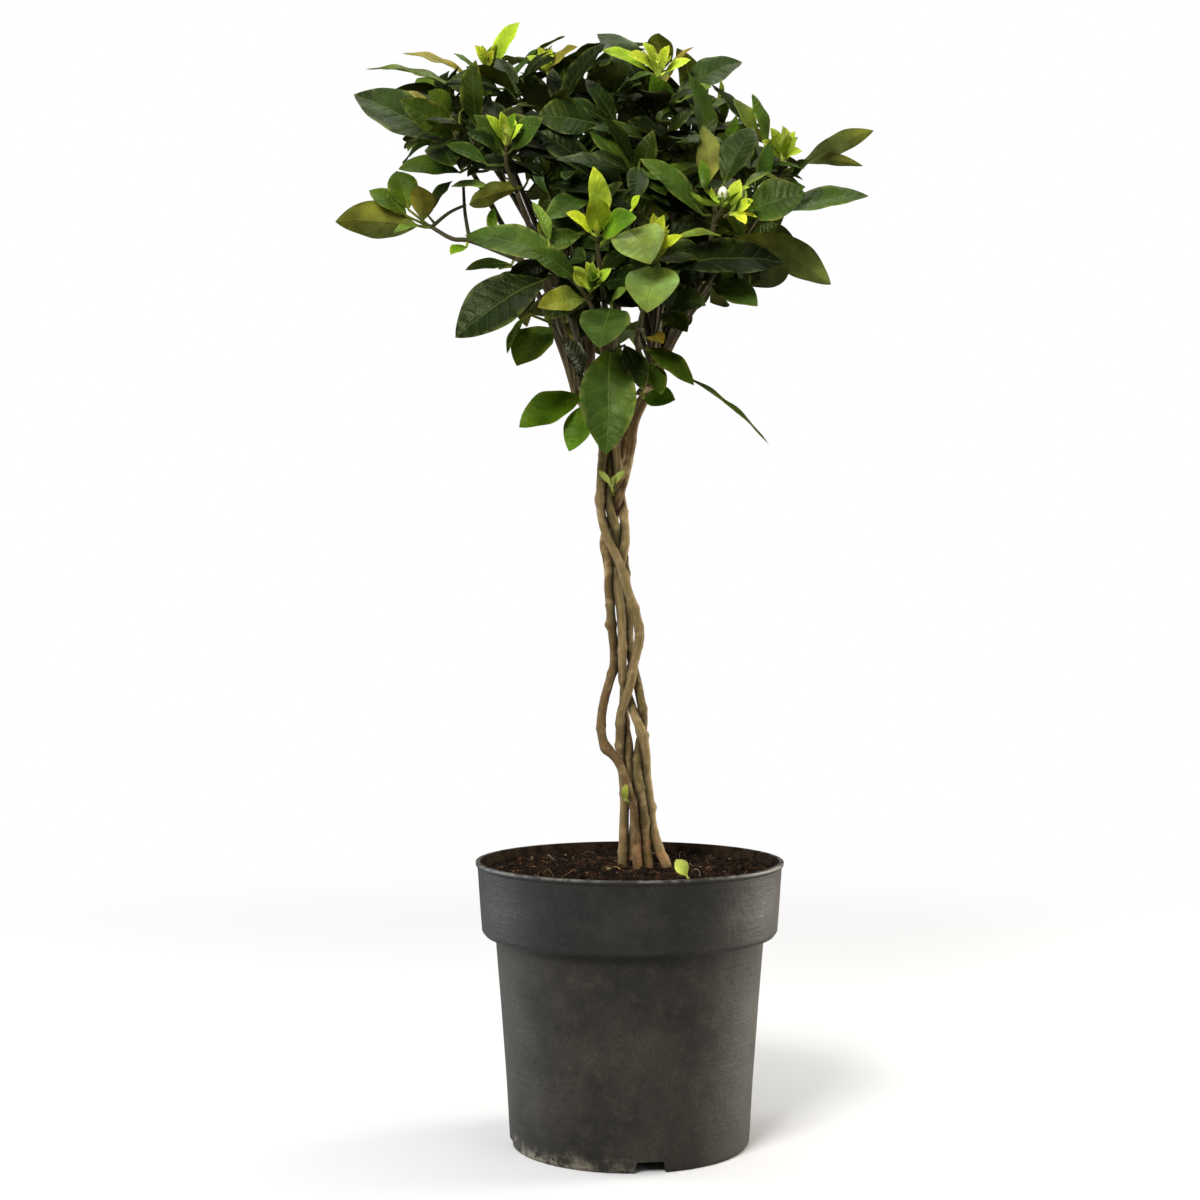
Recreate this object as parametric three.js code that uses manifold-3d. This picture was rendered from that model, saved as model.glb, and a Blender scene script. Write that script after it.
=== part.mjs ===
// Potted gardenia: a standard with a braided trunk of five stems, in a round nursery pot.
// Millimetres, +Z up, the front faces -Y. The origin is on the pot's axis, on the surface it stands on.
import * as THREE from 'three';
import { mergeGeometries, mergeVertices } from 'three/addons/utils/BufferGeometryUtils.js';
import Module from 'manifold-3d';

const wasm = await Module();
wasm.setup();

// Driving dimensions
const GAP = 0.3;
const POT = {
  height: 174, lipRadius: 95.3, lipHeight: 3, bandTop: 94.1, bandFoot: 91.3, bandHeight: 42,
  neckRadius: 83, waistRadius: 79.7, waistHeight: 87, footRadius: 74, wall: 2, floor: 9, facets: 28,
};
const UNDERSIDE = { padRadius: 35, ringRadius: 66, recess: 7, holeRadius: 5, holeRing: 52, holes: 6 };
const NOTCH = { count: 4, turn: 8.6, foot: 20, top: 16, height: 7 };
const SOIL = { atWall: 167, mound: 3.2, lump: 0.9, clear: 0.5 };
const STEM = {
  radius: 2.35, baseRadius: 3, depth: 35, spacing: 5.5, baseSpacing: 6.6, room: 0.4, step: 9.6, facets: 5,
};
const LIMB = { foot: 2.1, tip: 1.5, sunk: 3, bend: 0.3, rings: 2, facets: 3 };
const TWIG = { foot: 1.6, tip: 1.25, thin: 0.9, facets: 4 };
const BLADE = {
  thick: 1.3, petiole: 0.85, petioleThick: 1.5, small: 12.5, slim: 0.6, sunk: 1.1, leastPetiole: 3,
  fold: 0.22, arch: 0.09,
};

// The crown's places are read off a front view drawn at the pot's axis, seen from this point
const EYE = { across: -18.3, up: 335, distance: 1240 };

// Colours of the bare solids
const COLOUR = {
  pot: 0x3c3c3a, soil: 0x2d1e14, bark: 0x8c7855, leaf: 0x3c5a30, young: 0xa6bf3c, bud: 0xe8e6d2,
  fallen: 0xb2a64a, dry: 0xb79b6c, sprout: 0x7a9a3c,
};

const UP = new THREE.Vector3(0, 0, 1);
const TO_EYE = new THREE.Vector3(0, -1, 0);
const vector = (x, y, z) => new THREE.Vector3(x, y, z);
const mix = THREE.MathUtils.lerp;
const radians = THREE.MathUtils.degToRad;
const clamp = (value) => THREE.MathUtils.clamp(value, 0, 1);

// A place in the front view and its depth behind the pot's axis, as a point in space
function seen([across, up, depth]) {
  const scale = 1 + depth / EYE.distance;
  return vector(EYE.across + (across - EYE.across) * scale, depth, EYE.up + (up - EYE.up) * scale);
}

// Seeded draws, alike on every run
function draws(seed) {
  let state = seed;
  return () => {
    state = (state + 0x6d2b79f5) | 0;
    let word = Math.imul(state ^ (state >>> 15), state | 1);
    word ^= word + Math.imul(word ^ (word >>> 7), word | 61);
    return ((word ^ (word >>> 14)) >>> 0) / 4294967296;
  };
}

// A closed geometry as a solid: its points welded, its empty triangles left out
function solid(geometry) {
  const bare = new THREE.BufferGeometry();
  bare.setAttribute('position', geometry.getAttribute('position').clone());
  bare.setIndex(geometry.index.clone());
  const welded = mergeVertices(bare, 1e-4);
  const corners = [];
  for (let i = 0; i < welded.index.count; i += 3) {
    const [a, b, c] = [0, 1, 2].map((k) => welded.index.getX(i + k));
    if (a !== b && b !== c && c !== a) corners.push(a, b, c);
  }
  return new wasm.Manifold(new wasm.Mesh({
    numProp: 3,
    vertProperties: welded.attributes.position.array,
    triVerts: new Uint32Array(corners),
  }));
}

function union(solids) {
  return solids.reduce((whole, piece) => whole.add(piece));
}

// The largest body of a solid, for one that a cut may leave scraps of
function largest(piece) {
  return piece.decompose().reduce((best, body) => (body.volume() > best.volume() ? body : best));
}

function meshOf(name, piece, colour, roughness) {
  const cut = piece.getMesh();
  const geometry = new THREE.BufferGeometry();
  geometry.setAttribute('position', new THREE.BufferAttribute(new Float32Array(cut.vertProperties), 3));
  geometry.setIndex(new THREE.BufferAttribute(new Uint32Array(cut.triVerts), 1));
  geometry.computeVertexNormals();
  const material = new THREE.MeshStandardMaterial({ color: colour, roughness, metalness: 0 });
  const mesh = new THREE.Mesh(geometry, material);
  mesh.name = name;
  return mesh;
}

// A round body along a path, with a radius at each of its points, cut off square to its last heading
function sweep(points, radii, facets, heading) {
  const segments = points.length - 1;
  const tangents = points.map((point, i) => points[Math.min(i + 1, segments)].clone()
    .sub(points[Math.max(i - 1, 0)]).normalize());
  if (heading) tangents[segments] = heading;
  const start = Math.abs(tangents[0].z) > 0.9 ? vector(1, 0, 0) : UP;
  const across = [];
  tangents.forEach((tangent, i) => {
    const carried = (i ? across[i - 1] : start).clone();
    across.push(carried.addScaledVector(tangent, -carried.dot(tangent)).normalize());
  });
  const tube = new THREE.CylinderGeometry(1, 1, 1, facets, segments);
  const spots = tube.attributes.position;
  for (let i = 0; i < spots.count; i += 1) {
    const ring = Math.round((spots.getY(i) + 0.5) * segments);
    const over = across[ring].clone().cross(tangents[ring]);
    const spot = points[ring].clone()
      .addScaledVector(across[ring], spots.getX(i) * radii[ring])
      .addScaledVector(over, spots.getZ(i) * radii[ring]);
    spots.setXYZ(i, spot.x, spot.y, spot.z);
  }
  return solid(tube);
}

function taper(points, foot, tip, facets, heading) {
  return sweep(points, points.map((_, i) => mix(foot, tip, i / (points.length - 1))), facets, heading);
}

// A thin closed body: two like sheets, three points across, welded along their margins
function thinBody(rows, place) {
  const sheets = [1, -1].map((face) => {
    const sheet = new THREE.PlaneGeometry(2, 1, 2, rows.length - 1);
    const spots = sheet.attributes.position;
    for (let i = 0; i < spots.count; i += 1) {
      const row = rows[Math.round((spots.getY(i) + 0.5) * (rows.length - 1))];
      const spot = place(row, Math.round(spots.getX(i)), face);
      spots.setXYZ(i, spot.x, spot.y, spot.z);
    }
    if (face < 0) sheet.index.array.reverse();
    return sheet;
  });
  return solid(mergeGeometries(sheets));
}

// Share of the half width along a blade, widest a little past its middle, pointed at its tip
function outline(share) {
  return Math.sin(Math.PI * share ** 1.1) ** 0.85;
}

// The direction a blade's upper side faces. At 0 degrees it faces up and the blade is seen edge-on,
// at 90 it faces the eye, and at -90 its underside does.
function facing(along, degrees) {
  const eye = TO_EYE.clone().addScaledVector(along, -TO_EYE.dot(along)).normalize();
  const up = along.clone().cross(eye);
  if (along.x > 0) up.negate();
  return up.multiplyScalar(Math.cos(radians(degrees))).addScaledVector(eye, Math.sin(radians(degrees)));
}

// Where along a blade its sections lie: the longer the blade, the more
function bladeShares(length) {
  if (length > 70) return [0.18, 0.4, 0.62, 0.84];
  return length > 42 ? [0.24, 0.52, 0.8] : [0.32, 0.7];
}

// A leaf: root on the twig's axis, a straight petiole to the base, and an arched blade to the tip.
// swell makes it larger all over, for the space it has to keep clear.
function leafSolid(leaf, swell = 0) {
  const { root, base, tip, upper, width } = leaf;
  const along = tip.clone().sub(base);
  const length = along.length();
  along.normalize();
  const side = along.clone().cross(upper);
  const bulge = (leaf.arch ?? BLADE.arch) * length * 4;
  const petiole = base.clone().sub(root).normalize();
  const bisector = petiole.clone().add(along).normalize();
  const stalk = width < BLADE.small ? BLADE.slim : 1;
  const stalkUpper = upper.clone().addScaledVector(bisector, -upper.dot(bisector)).normalize();
  const stalkSide = bisector.clone().cross(stalkUpper);
  const rows = [
    { at: root.clone().addScaledVector(petiole, -BLADE.sunk), half: 0, thick: 0 },
    { at: base, half: BLADE.petiole * stalk + swell, thick: (BLADE.petioleThick / 2) * stalk + swell },
    ...bladeShares(length).map((share, i) => ({
      share,
      half: (width / 2) * outline(share) + swell,
      thick: BLADE.thick / 2 + swell * 0.6,
      wave: (leaf.wave ?? 0) * (i % 2 ? -1 : 1),
    })),
    { at: tip.clone().addScaledVector(along, swell), half: 0, thick: 0 },
  ];
  return thinBody(rows, (row, x, face) => {
    if (row.at) {
      return row.at.clone().addScaledVector(stalkSide, x * row.half)
        .addScaledVector(stalkUpper, face * (1 - Math.abs(x)) * row.thick);
    }
    const slope = Math.atan2(bulge * (1 - 2 * row.share), length);
    const twist = radians(leaf.twist ?? 0) * row.share;
    const out = upper.clone().multiplyScalar(Math.cos(slope)).addScaledVector(along, -Math.sin(slope));
    const level = side.clone().multiplyScalar(Math.cos(twist)).addScaledVector(out, Math.sin(twist));
    out.multiplyScalar(Math.cos(twist)).addScaledVector(side, -Math.sin(twist));
    const lift = Math.abs(x) * (BLADE.fold * row.half + row.wave);
    return base.clone().addScaledVector(along, length * row.share)
      .addScaledVector(upper, bulge * row.share * (1 - row.share))
      .addScaledVector(level, x * row.half)
      .addScaledVector(out, lift + face * (1 - Math.abs(x)) * row.thick);
  });
}

// Nursery pot

function potProfile() {
  const { wall, height, bandHeight, lipHeight } = POT;
  const bandFoot = height - lipHeight - bandHeight;
  const outside = [
    [0, 0], [UNDERSIDE.padRadius, 0], [UNDERSIDE.padRadius + 1, UNDERSIDE.recess],
    [UNDERSIDE.ringRadius, UNDERSIDE.recess], [UNDERSIDE.ringRadius + 1, 0],
    [POT.footRadius - 1.5, 0], [POT.footRadius, 2], [POT.waistRadius, POT.waistHeight],
    [POT.neckRadius, bandFoot - 1], [POT.bandFoot - 2, bandFoot], [POT.bandFoot, bandFoot + 2.5],
    [POT.bandTop, height - lipHeight], [POT.lipRadius, height - lipHeight + 0.8], [POT.lipRadius, height],
  ];
  const inside = [
    [POT.bandTop - wall, height], [POT.bandFoot - wall, bandFoot + 4],
    [POT.neckRadius - wall, bandFoot - 3], [POT.footRadius - wall + 0.6, POT.floor], [0, POT.floor],
  ];
  return [...outside, ...inside].map(([radius, up]) => new THREE.Vector2(radius, up));
}

// A cutter that runs across the foot ring, wider at the floor than at its top
function notchSolid(turn) {
  const shape = new THREE.Shape([
    new THREE.Vector2(-NOTCH.foot / 2, -1), new THREE.Vector2(NOTCH.foot / 2, -1),
    new THREE.Vector2(NOTCH.top / 2, NOTCH.height), new THREE.Vector2(-NOTCH.top / 2, NOTCH.height),
  ]);
  const reach = POT.footRadius + 8 - UNDERSIDE.ringRadius;
  const cutter = new THREE.ExtrudeGeometry(shape, { depth: reach + 4, bevelEnabled: false });
  cutter.rotateX(Math.PI / 2);
  cutter.translate(0, -UNDERSIDE.ringRadius + 3, 0);
  cutter.rotateZ(turn);
  return solid(indexed(cutter));
}

// Some three.js shapes come without an index; this numbers their points
function indexed(geometry) {
  if (geometry.index) return geometry;
  geometry.setIndex([...Array(geometry.attributes.position.count).keys()]);
  return geometry;
}

function lathe(profile, facets) {
  const turned = new THREE.LatheGeometry(profile, facets);
  turned.rotateX(Math.PI / 2);
  return turned;
}

function potSolid() {
  let pot = solid(lathe(potProfile(), POT.facets));
  for (let i = 0; i < NOTCH.count; i += 1) {
    pot = pot.subtract(notchSolid(radians(NOTCH.turn) + (i * Math.PI * 2) / NOTCH.count));
  }
  for (let i = 0; i < UNDERSIDE.holes; i += 1) {
    const drill = new THREE.CylinderGeometry(UNDERSIDE.holeRadius, UNDERSIDE.holeRadius, 8, 6);
    drill.rotateX(Math.PI / 2);
    drill.translate(UNDERSIDE.holeRing, 0, UNDERSIDE.recess + 2);
    drill.rotateZ(((i + 0.5) * Math.PI * 2) / UNDERSIDE.holes);
    pot = pot.subtract(solid(drill));
  }
  return pot;
}

// Soil: a plug that fills the pot, mounded at the trunk, with a low uneven surface

function soilTop(x, y) {
  const mound = SOIL.mound * Math.exp(-((x - 4) ** 2 + y ** 2) / 1400);
  const rough = Math.sin(x * 0.23 + 1.3) * Math.cos(y * 0.19 - 0.4) + 0.6 * Math.sin(x * 0.41 - y * 0.37);
  return SOIL.atWall + mound + SOIL.lump * rough;
}

function soilSolid() {
  const bandFoot = POT.height - POT.lipHeight - POT.bandHeight;
  const foot = POT.floor + GAP;
  const inset = POT.wall + SOIL.clear;
  const profile = [
    [0, foot], [POT.footRadius - inset, foot], [POT.neckRadius - inset, bandFoot - 2],
    [POT.bandFoot - inset, bandFoot + 5.5], [POT.bandTop - inset - 0.6, SOIL.atWall],
    [62, SOIL.atWall], [30, SOIL.atWall], [0, SOIL.atWall],
  ];
  const plug = lathe(profile.map(([radius, up]) => new THREE.Vector2(radius, up)), POT.facets);
  const spots = plug.attributes.position;
  for (let i = 0; i < spots.count; i += 1) {
    if (spots.getZ(i) > SOIL.atWall - 1) spots.setZ(i, soilTop(spots.getX(i), spots.getY(i)));
  }
  return solid(plug);
}

// Braided trunk. Each stem's course is read off the front view: up, across and depth, from the top down.

const STEMS = {
  stem_1: {
    course: [
      [428, -16.4, -4], [409, -17.7, -5], [390, -17.7, -5], [376, -14.6, -5], [365, -9.6, -6],
      [356, -5.3, -6.5], [344, -2.2, -6.5], [328, 3.4, -5.5], [310, 6.5, -5], [300, 3.4, -5.5],
      [289, 1.5, -6], [279, -0.3, -6], [269, -4.7, -5], [252, -5.9, -3], [245, -5.5, 1], [230, -4.4, 4],
      [211, -3, 4], [195, -3.4, 3], [169, -3.6, 3],
    ],
    crotch: [-33, 462, -8],
  },
  stem_2: {
    course: [
      [428, -12.7, 1], [409, -13, -1], [395, -12.5, -3], [386, -10.5, -4], [376, -7.4, -3],
      [371, -5.8, 0.5], [364, -4, 3.5], [350, -2.5, 5], [339, -2.2, 4], [325, -0.5, 1.5],
      [312, -0.3, 0.5], [300, 0.8, 1.5],
      [285, 4.6, 2], [275, 6.5, 0.5], [264, 8.4, 0.5], [253, 8, 1.5], [245, 6.2, 1.5], [236, 4.6, -1],
      [225, 5.4, -3.5], [214, 7.4, -4], [204, 9, -4], [190, 10.2, -3], [169, 11.5, -2],
    ],
    crotch: [-24, 468, 14],
  },
  stem_3: {
    course: [
      [428, 0.6, -4], [416, -1.6, -5], [404, -5, -4.5], [394, -8, -3], [386, -11.5, 1.5], [371, -15.8, 2.5],
      [363, -14.6, 1], [356, -13, -0.5], [342, -12.8, -1], [328, -11.5, -2], [320, -11.2, -2],
      [309, -10, -1], [298, -9.4, 0.5], [288, -11, -1], [282, -13.3, -2], [269, -16.4, -2], [258, -17.7, -3],
      [249, -16.4, -4], [243, -14, -5], [238, -9, -6], [232, -5.3, -7], [223, -2.2, -7],
      [207, 2.8, -6], [195, 4, -5], [180, 4.6, -5], [169, 5.3, -5],
    ],
    crotch: [13, 466, -14],
  },
  stem_4: {
    course: [
      [428, -8.4, -3], [409, -7.1, 0.5], [397, -5, 2.5], [382, -3, -1.5], [371, -3, -3], [364, -3.4, -2],
      [356, -6.3, -0.5], [344, -7.8, -1.5], [332, -6, -3], [323, -5, -4], [309, -4.6, -4],
      [298, -4.4, -3.5], [288, -4.4, -1.5], [279, -2, 0.5], [270, 1, 0.5], [259, 5, -3.5], [252, 7.7, -4.5],
      [245, 9.4, -4], [228, 10.4, 0], [214, 12.1, -1], [195, 13.3, -1], [184, 17, -2], [169, 23.2, -3],
    ],
    crotch: [-12, 456, -22],
  },
  stem_5: {
    course: [
      [428, -4, 5], [409, -8.6, 6], [385, -9.5, 7.5], [371, -9.5, 8], [356, -8.5, 6], [345, -6, 7],
      [335, -0.5, 9], [325, 4, 7.5], [310, 6, 6], [298, 3, 7.5], [285, -2.2, 7], [270, -3.5, 5.5],
      [254, -2.2, 3], [238, 0.3, 1.5], [223, 2.2, 0.5], [212, 2.8, 1.5], [201, 3.2, 2], [185, 2.5, 3],
      [169, 2, 4],
    ],
    crotch: [16, 470, 14],
  },
};

// Height, across and depth between a course's points, on a smooth curve without overshoot at its ends
function courseAt(course, up) {
  let i = course.findIndex(([height], k) => k > 0 && height <= up);
  if (i < 0) i = course.length - 1;
  const points = [-2, -1, 0, 1].map((step) => course[THREE.MathUtils.clamp(i + step, 0, course.length - 1)]);
  const [before, from, to, after] = points;
  const span = to[0] - from[0];
  const s = (up - from[0]) / span;
  return [1, 2].map((k) => {
    const leave = ((to[k] - before[k]) / (to[0] - before[0])) * span;
    const arrive = ((after[k] - from[k]) / (after[0] - from[0])) * span;
    const rest = from[k] * (1 + 2 * s) * (1 - s) ** 2 + to[k] * s * s * (3 - 2 * s);
    return rest + leave * s * (1 - s) ** 2 - arrive * s * s * (1 - s);
  });
}

// The stems' centres at one height, pushed apart until none lies in another
function level(up) {
  const spots = Object.values(STEMS).map(({ course }) => courseAt(course, up));
  const spacing = mix(STEM.baseSpacing, STEM.spacing, clamp((up - TRUNK.foot) / TRUNK.flare));
  for (let pass = 0; pass < 60; pass += 1) {
    for (let a = 0; a < spots.length; a += 1) {
      for (let b = a + 1; b < spots.length; b += 1) {
        const x = spots[b][0] - spots[a][0];
        const y = spots[b][1] - spots[a][1];
        const apart = Math.sqrt(x * x + y * y);
        const push = Math.max(0, spacing - apart) / 2 / apart;
        spots[a][0] -= x * push;
        spots[a][1] -= y * push;
        spots[b][0] += x * push;
        spots[b][1] += y * push;
      }
    }
  }
  return spots;
}

const TRUNK = { foot: 169, top: 428, flare: 42 };

function trunkLevels() {
  const count = Math.round((TRUNK.top - TRUNK.foot) / STEM.step);
  return Array.from({ length: count + 1 }, (_, i) => {
    const up = mix(TRUNK.foot, TRUNK.top, i / count);
    return { up, spots: level(up) };
  });
}

// A stem's centre line from its foot in the soil to its crotch, with the radius at each point
function stemLine(index, levels, crotch) {
  const points = levels.map(({ up, spots }) => vector(spots[index][0], spots[index][1], up));
  const [foot, second] = points;
  const lean = foot.clone().sub(second).multiplyScalar(0.5 / STEM.step);
  points.unshift(
    vector(foot.x + lean.x * STEM.depth, foot.y + lean.y * STEM.depth, foot.z - STEM.depth),
  );
  const top = points[points.length - 1];
  const bend = vector(top.x, top.y, (top.z + crotch.z) / 2);
  points.push(top.clone().add(crotch).multiplyScalar(0.25).addScaledVector(bend, 0.5), crotch);
  const radii = points.map(({ z }) => {
    return mix(STEM.baseRadius, STEM.radius, clamp((z - TRUNK.foot) / TRUNK.flare));
  });
  return { points, radii };
}

// A point a little past the first one of a line
function extended([first, second]) {
  return first.clone().add(first.clone().sub(second).setLength(2 * GAP));
}

// A limb from its stem's crotch to a shoot's foot, rising first and then bending out
function limbSolid(crotch, foot, onward) {
  const reach = foot.distanceTo(crotch);
  const start = crotch.clone().addScaledVector(UP, -LIMB.sunk);
  const heading = foot.clone().sub(crotch).normalize().add(UP).normalize();
  const rise = crotch.clone().addScaledVector(heading, reach * LIMB.bend);
  const bend = foot.clone().addScaledVector(onward, -reach * LIMB.bend);
  const curve = new THREE.CubicBezierCurve3(start, rise, bend, foot);
  return taper(curve.getPoints(LIMB.rings), LIMB.foot, LIMB.tip, LIMB.facets, onward);
}

// Leafy shoots of the front. A shoot's axis and leaves are [across, up, depth] in the front view.
// leaf(base, tip, nearer, width, face, more): the base and tip as seen, how much further the tip lies
// than the base, the blade's width, and the turn of its upper side towards the eye.

function leaf(base, tip, further, width, face, more = {}) {
  return { base, tip, further, width, face, ...more };
}

const FRONT_SHOOTS = {
  shoot_under_centre: {
    stem: 'stem_4', axis: [[-10, 480, -62], [-12, 500, -80], [-12, 514, -88]],
    leaves: [
      leaf([-11, 493], [-14.5, 425], -22, 33, 85),
      leaf([-11.5, 516], [-18.5, 491], -34, 29, 80),
      leaf([-3, 493], [8, 465], -15, 15, 70),
      leaf([-11, 520], [-1, 528], -15, 7, 50),
    ],
  },
  shoot_front_centre: {
    stem: 'stem_4', axis: [[-16, 522, -86], [-19, 545, -101], [-20, 556, -104]],
    leaves: [
      leaf([-1, 564], [13, 543], -34, 30, 80, { arch: 0.16 }),
      leaf([1.5, 577], [6.5, 586], -5, 6, 50),
    ],
  },
  shoot_front_right: {
    stem: 'stem_3', axis: [[6, 505, -80], [13, 535, -98], [14, 545, -102]],
    leaves: [
      leaf([17.5, 542], [11, 513], -32, 30, 82),
      leaf([14, 545], [47.5, 551], -14, 18, 60),
      leaf([20, 540], [96.5, 544], 16, 27, 58),
      leaf([27, 558], [57.5, 560.5], 4, 12, 28),
    ],
  },
  shoot_front_left: {
    stem: 'stem_4', axis: [[-18, 496, -74], [-24, 518, -88], [-36, 534, -92], [-50, 538, -90]],
    leaves: [
      leaf([-52, 533.5], [-108, 497.5], -10, 34, 65),
      leaf([-38, 542], [-102, 561], 12, 25, 55),
      leaf([-32.5, 533], [-62, 552], -12, 16, 60),
      leaf([-27.5, 521], [-57, 516.5], -24, 17, 65, { wave: 0.8 }),
      leaf([-50, 556], [-60.5, 582], 4, 11, 40),
    ],
  },
  shoot_right_front: {
    stem: 'stem_3', axis: [[44, 535, -78], [52, 566, -90], [53, 590, -92]],
    offshoots: [[[52, 568, -90], [57, 577, -99], [58, 581, -101]]],
    leaves: [
      leaf([58.5, 593], [77, 628], 4, 21, 65),
      leaf([45.5, 573.5], [6.5, 608.5], -8, 16, 60),
      leaf([47, 591], [45, 629.5], 16, 18, -50),
      leaf([71.5, 573], [109, 587.5], -12, 27, 68),
      leaf([47, 589], [43.5, 608], -12, 9, 60),
      leaf([71, 590], [88, 600.5], 12, 8, 40),
    ],
  },
  shoot_under_right: {
    stem: 'stem_3', axis: [[12, 482, -50], [18, 505, -66], [20, 518, -70]],
    leaves: [
      leaf([22, 519], [47.5, 517.5], -24, 17, 65, { wave: 0.8 }),
      leaf([19.5, 513], [36, 501], -20, 14, 70),
      leaf([10, 491], [40, 468], -20, 14, 65, { wave: 0.8 }),
      leaf([24, 480], [86.5, 431.5], -14, 9, 20, { arch: 0.05 }),
      leaf([12, 497], [21, 494], -30, 11, 60),
    ],
  },
  shoot_low_right: {
    stem: 'stem_3', axis: [[42, 522, -60], [58, 546, -70], [65, 560, -74]],
    leaves: [
      leaf([65.5, 561], [125, 530.5], -6, 24, -50, { arch: 0.11 }),
      leaf([51, 530], [79.5, 517], -22, 20, 60),
    ],
  },
  shoot_under_left: {
    stem: 'stem_1', axis: [[-36, 484, -42], [-44, 500, -56], [-47, 508, -61]],
    leaves: [
      leaf([-49, 504], [-70, 480], -20, 25, 65, { wave: 0.8 }),
      leaf([-62, 512], [-76, 487.5], -16, 8, 40),
    ],
  },
  shoot_braid_left: {
    stem: 'stem_1', axis: [[-25, 462, -24], [-30, 468, -34], [-31, 474, -40]],
    leaves: [
      leaf([-29, 461], [-68.5, 442], -12, 24, 60),
      leaf([-24.5, 457.5], [-37.5, 427], -12, 18, 70, { arch: 0.04 }),
      leaf([-29, 474], [-42, 498], -14, 14, 60),
    ],
  },
  shoot_braid_right: {
    stem: 'stem_3', axis: [[6, 464, -34], [9, 468, -42], [11, 475, -47]],
    leaves: [
      leaf([11.5, 482], [20, 462], -20, 13, 70),
      leaf([9, 460], [28.5, 459], -16, 15, 65),
    ],
  },
  shoot_upper_left: {
    stem: 'stem_1', axis: [[-70, 588, -50], [-76, 604, -60], [-76.5, 613, -64]],
    leaves: [
      leaf([-73, 614], [-53.5, 634], -14, 16, 65),
      leaf([-78, 612], [-97, 636], -16, 13, 55),
      leaf([-80, 612], [-101, 624.5], -22, 12, 55),
      leaf([-88, 604.5], [-114, 617.5], -12, 12, 55),
      leaf([-67, 591], [-99.5, 580], -12, 14, -50),
      leaf([-85, 590.5], [-111, 591], 0, 9, 40),
    ],
  },
  shoot_left: {
    stem: 'stem_1', axis: [[-96, 598, -29], [-104, 612, -38], [-107, 624, -42]],
    leaves: [
      leaf([-113, 619.5], [-171, 648.5], 2, 33, 60, { arch: 0.03 }),
      leaf([-109, 619.5], [-142.5, 645], -26, 21, 65),
      leaf([-117.5, 618], [-109.5, 603.5], -34, 24, 80),
      leaf([-111, 635], [-125, 650.5], -12, 16, 60),
      leaf([-122, 638], [-138, 650.5], -4, 8, 40),
      leaf([-105, 600], [-143.5, 602], -22, 17, 55),
      leaf([-105, 637], [-85, 649.5], -16, 9, 40),
    ],
  },
  shoot_right: {
    stem: 'stem_5', axis: [[72, 562, -20], [88, 586, -29], [94, 603, -33]],
    offshoots: [[[86, 583, -28], [80, 606, -24], [79, 626, -22]]],
    leaves: [
      leaf([98, 600], [151.5, 626], 2, 16, 0, { twist: 78, arch: 0.02 }),
      leaf([88, 576], [148.5, 585.5], 4, 21, 48, { arch: 0.04 }),
      leaf([104, 605], [145, 604], 6, 9, -42, { arch: 0.14 }),
      leaf([101, 597], [112, 607], -16, 10, 45),
      leaf([84, 615], [76, 649], 6, 10, 60),
      leaf([80, 617], [64, 646], 0, 12, 55),
      leaf([75, 620], [50.5, 655], 10, 9, 50),
    ],
  },
  shoot_top: {
    stem: 'stem_5', axis: [[17, 626, -4], [20, 643, -9], [19, 655, -11]],
    leaves: [
      leaf([22, 631], [13, 660], -32, 19, 75),
      leaf([28, 646], [70, 668.5], 0, 23, 60),
      leaf([9.5, 646], [9.5, 613], 34, 28, -80),
      leaf([10, 649], [-20, 686], 14, 23, 60, { arch: 0.12 }),
      leaf([18, 661], [18, 686.5], -24, 17, -70),
      leaf([26, 662], [40, 678], 6, 9, 30),
      leaf([32, 644], [51, 653], -20, 10, 50),
      leaf([33, 634], [69.5, 644], -10, 10, 40),
    ],
  },
  shoot_low_left: {
    stem: 'stem_1', axis: [[-71, 547, -26], [-98, 557.5, -20], [-110, 559, -18], [-124, 567, -15]],
    offshoots: [
      [[-99, 557.5, -20], [-102, 575, -18], [-103, 592, -14]],
      [[-123, 566, -15], [-112, 575, -22], [-101.5, 580, -26]],
    ],
    leaves: [
      leaf([-131, 567], [-182.5, 569.5], 0, 24, -60),
      leaf([-137, 577], [-144.5, 601], 6, 19, 75),
      leaf([-128, 570], [-131, 592], -12, 17, -70),
      leaf([-138, 573], [-161.5, 589], 2, 15, 60),
      leaf([-125, 573.5], [-109.5, 595], 12, 11, 50),
      leaf([-127, 566], [-146, 563], -20, 9, 40),
      leaf([-84, 560], [-84, 578.5], -6, 8, 60),
      leaf([-101, 554], [-111, 549], -16, 9, 60),
      leaf([-73, 543], [-102, 539.5], -12, 9, 60),
    ],
  },
  shoot_top_left: {
    stem: 'stem_2', axis: [[-45, 628, 6], [-51, 643, 9], [-50, 655, 8]],
    leaves: [
      leaf([-50.5, 660], [-32, 678], -10, 11, 45),
      leaf([-43, 643], [-42, 670], -22, 13, 60),
      leaf([-54, 646], [-68, 658.5], -22, 14, 60),
      leaf([-54, 638], [-66, 642], -16, 9, 40),
    ],
  },
  shoot_far_top_left: {
    stem: 'stem_2', axis: [[-82, 630, 8], [-87, 646, 9], [-87, 657, 9]],
    leaves: [
      leaf([-80, 648], [-114.5, 655], -16, 18, 70, { arch: 0.2 }),
      leaf([-77, 652], [-39.5, 684.5], -6, 15, 40, { twist: 35 }),
      leaf([-102, 648], [-164, 664], 6, 14, 28),
      leaf([-98, 658], [-141, 674], -6, 9, 40),
      leaf([-95, 662], [-109.5, 674], 4, 6, 40),
    ],
  },
  shoot_inner: {
    stem: 'stem_4', axis: [[-10, 588, -34], [-13, 606, -44], [-15, 620, -50]],
    leaves: [
      leaf([-20, 630], [-58, 634], -8, 26, 70),
      leaf([-7, 618], [22, 622], 6, 20, 60),
    ],
  },
};

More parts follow.
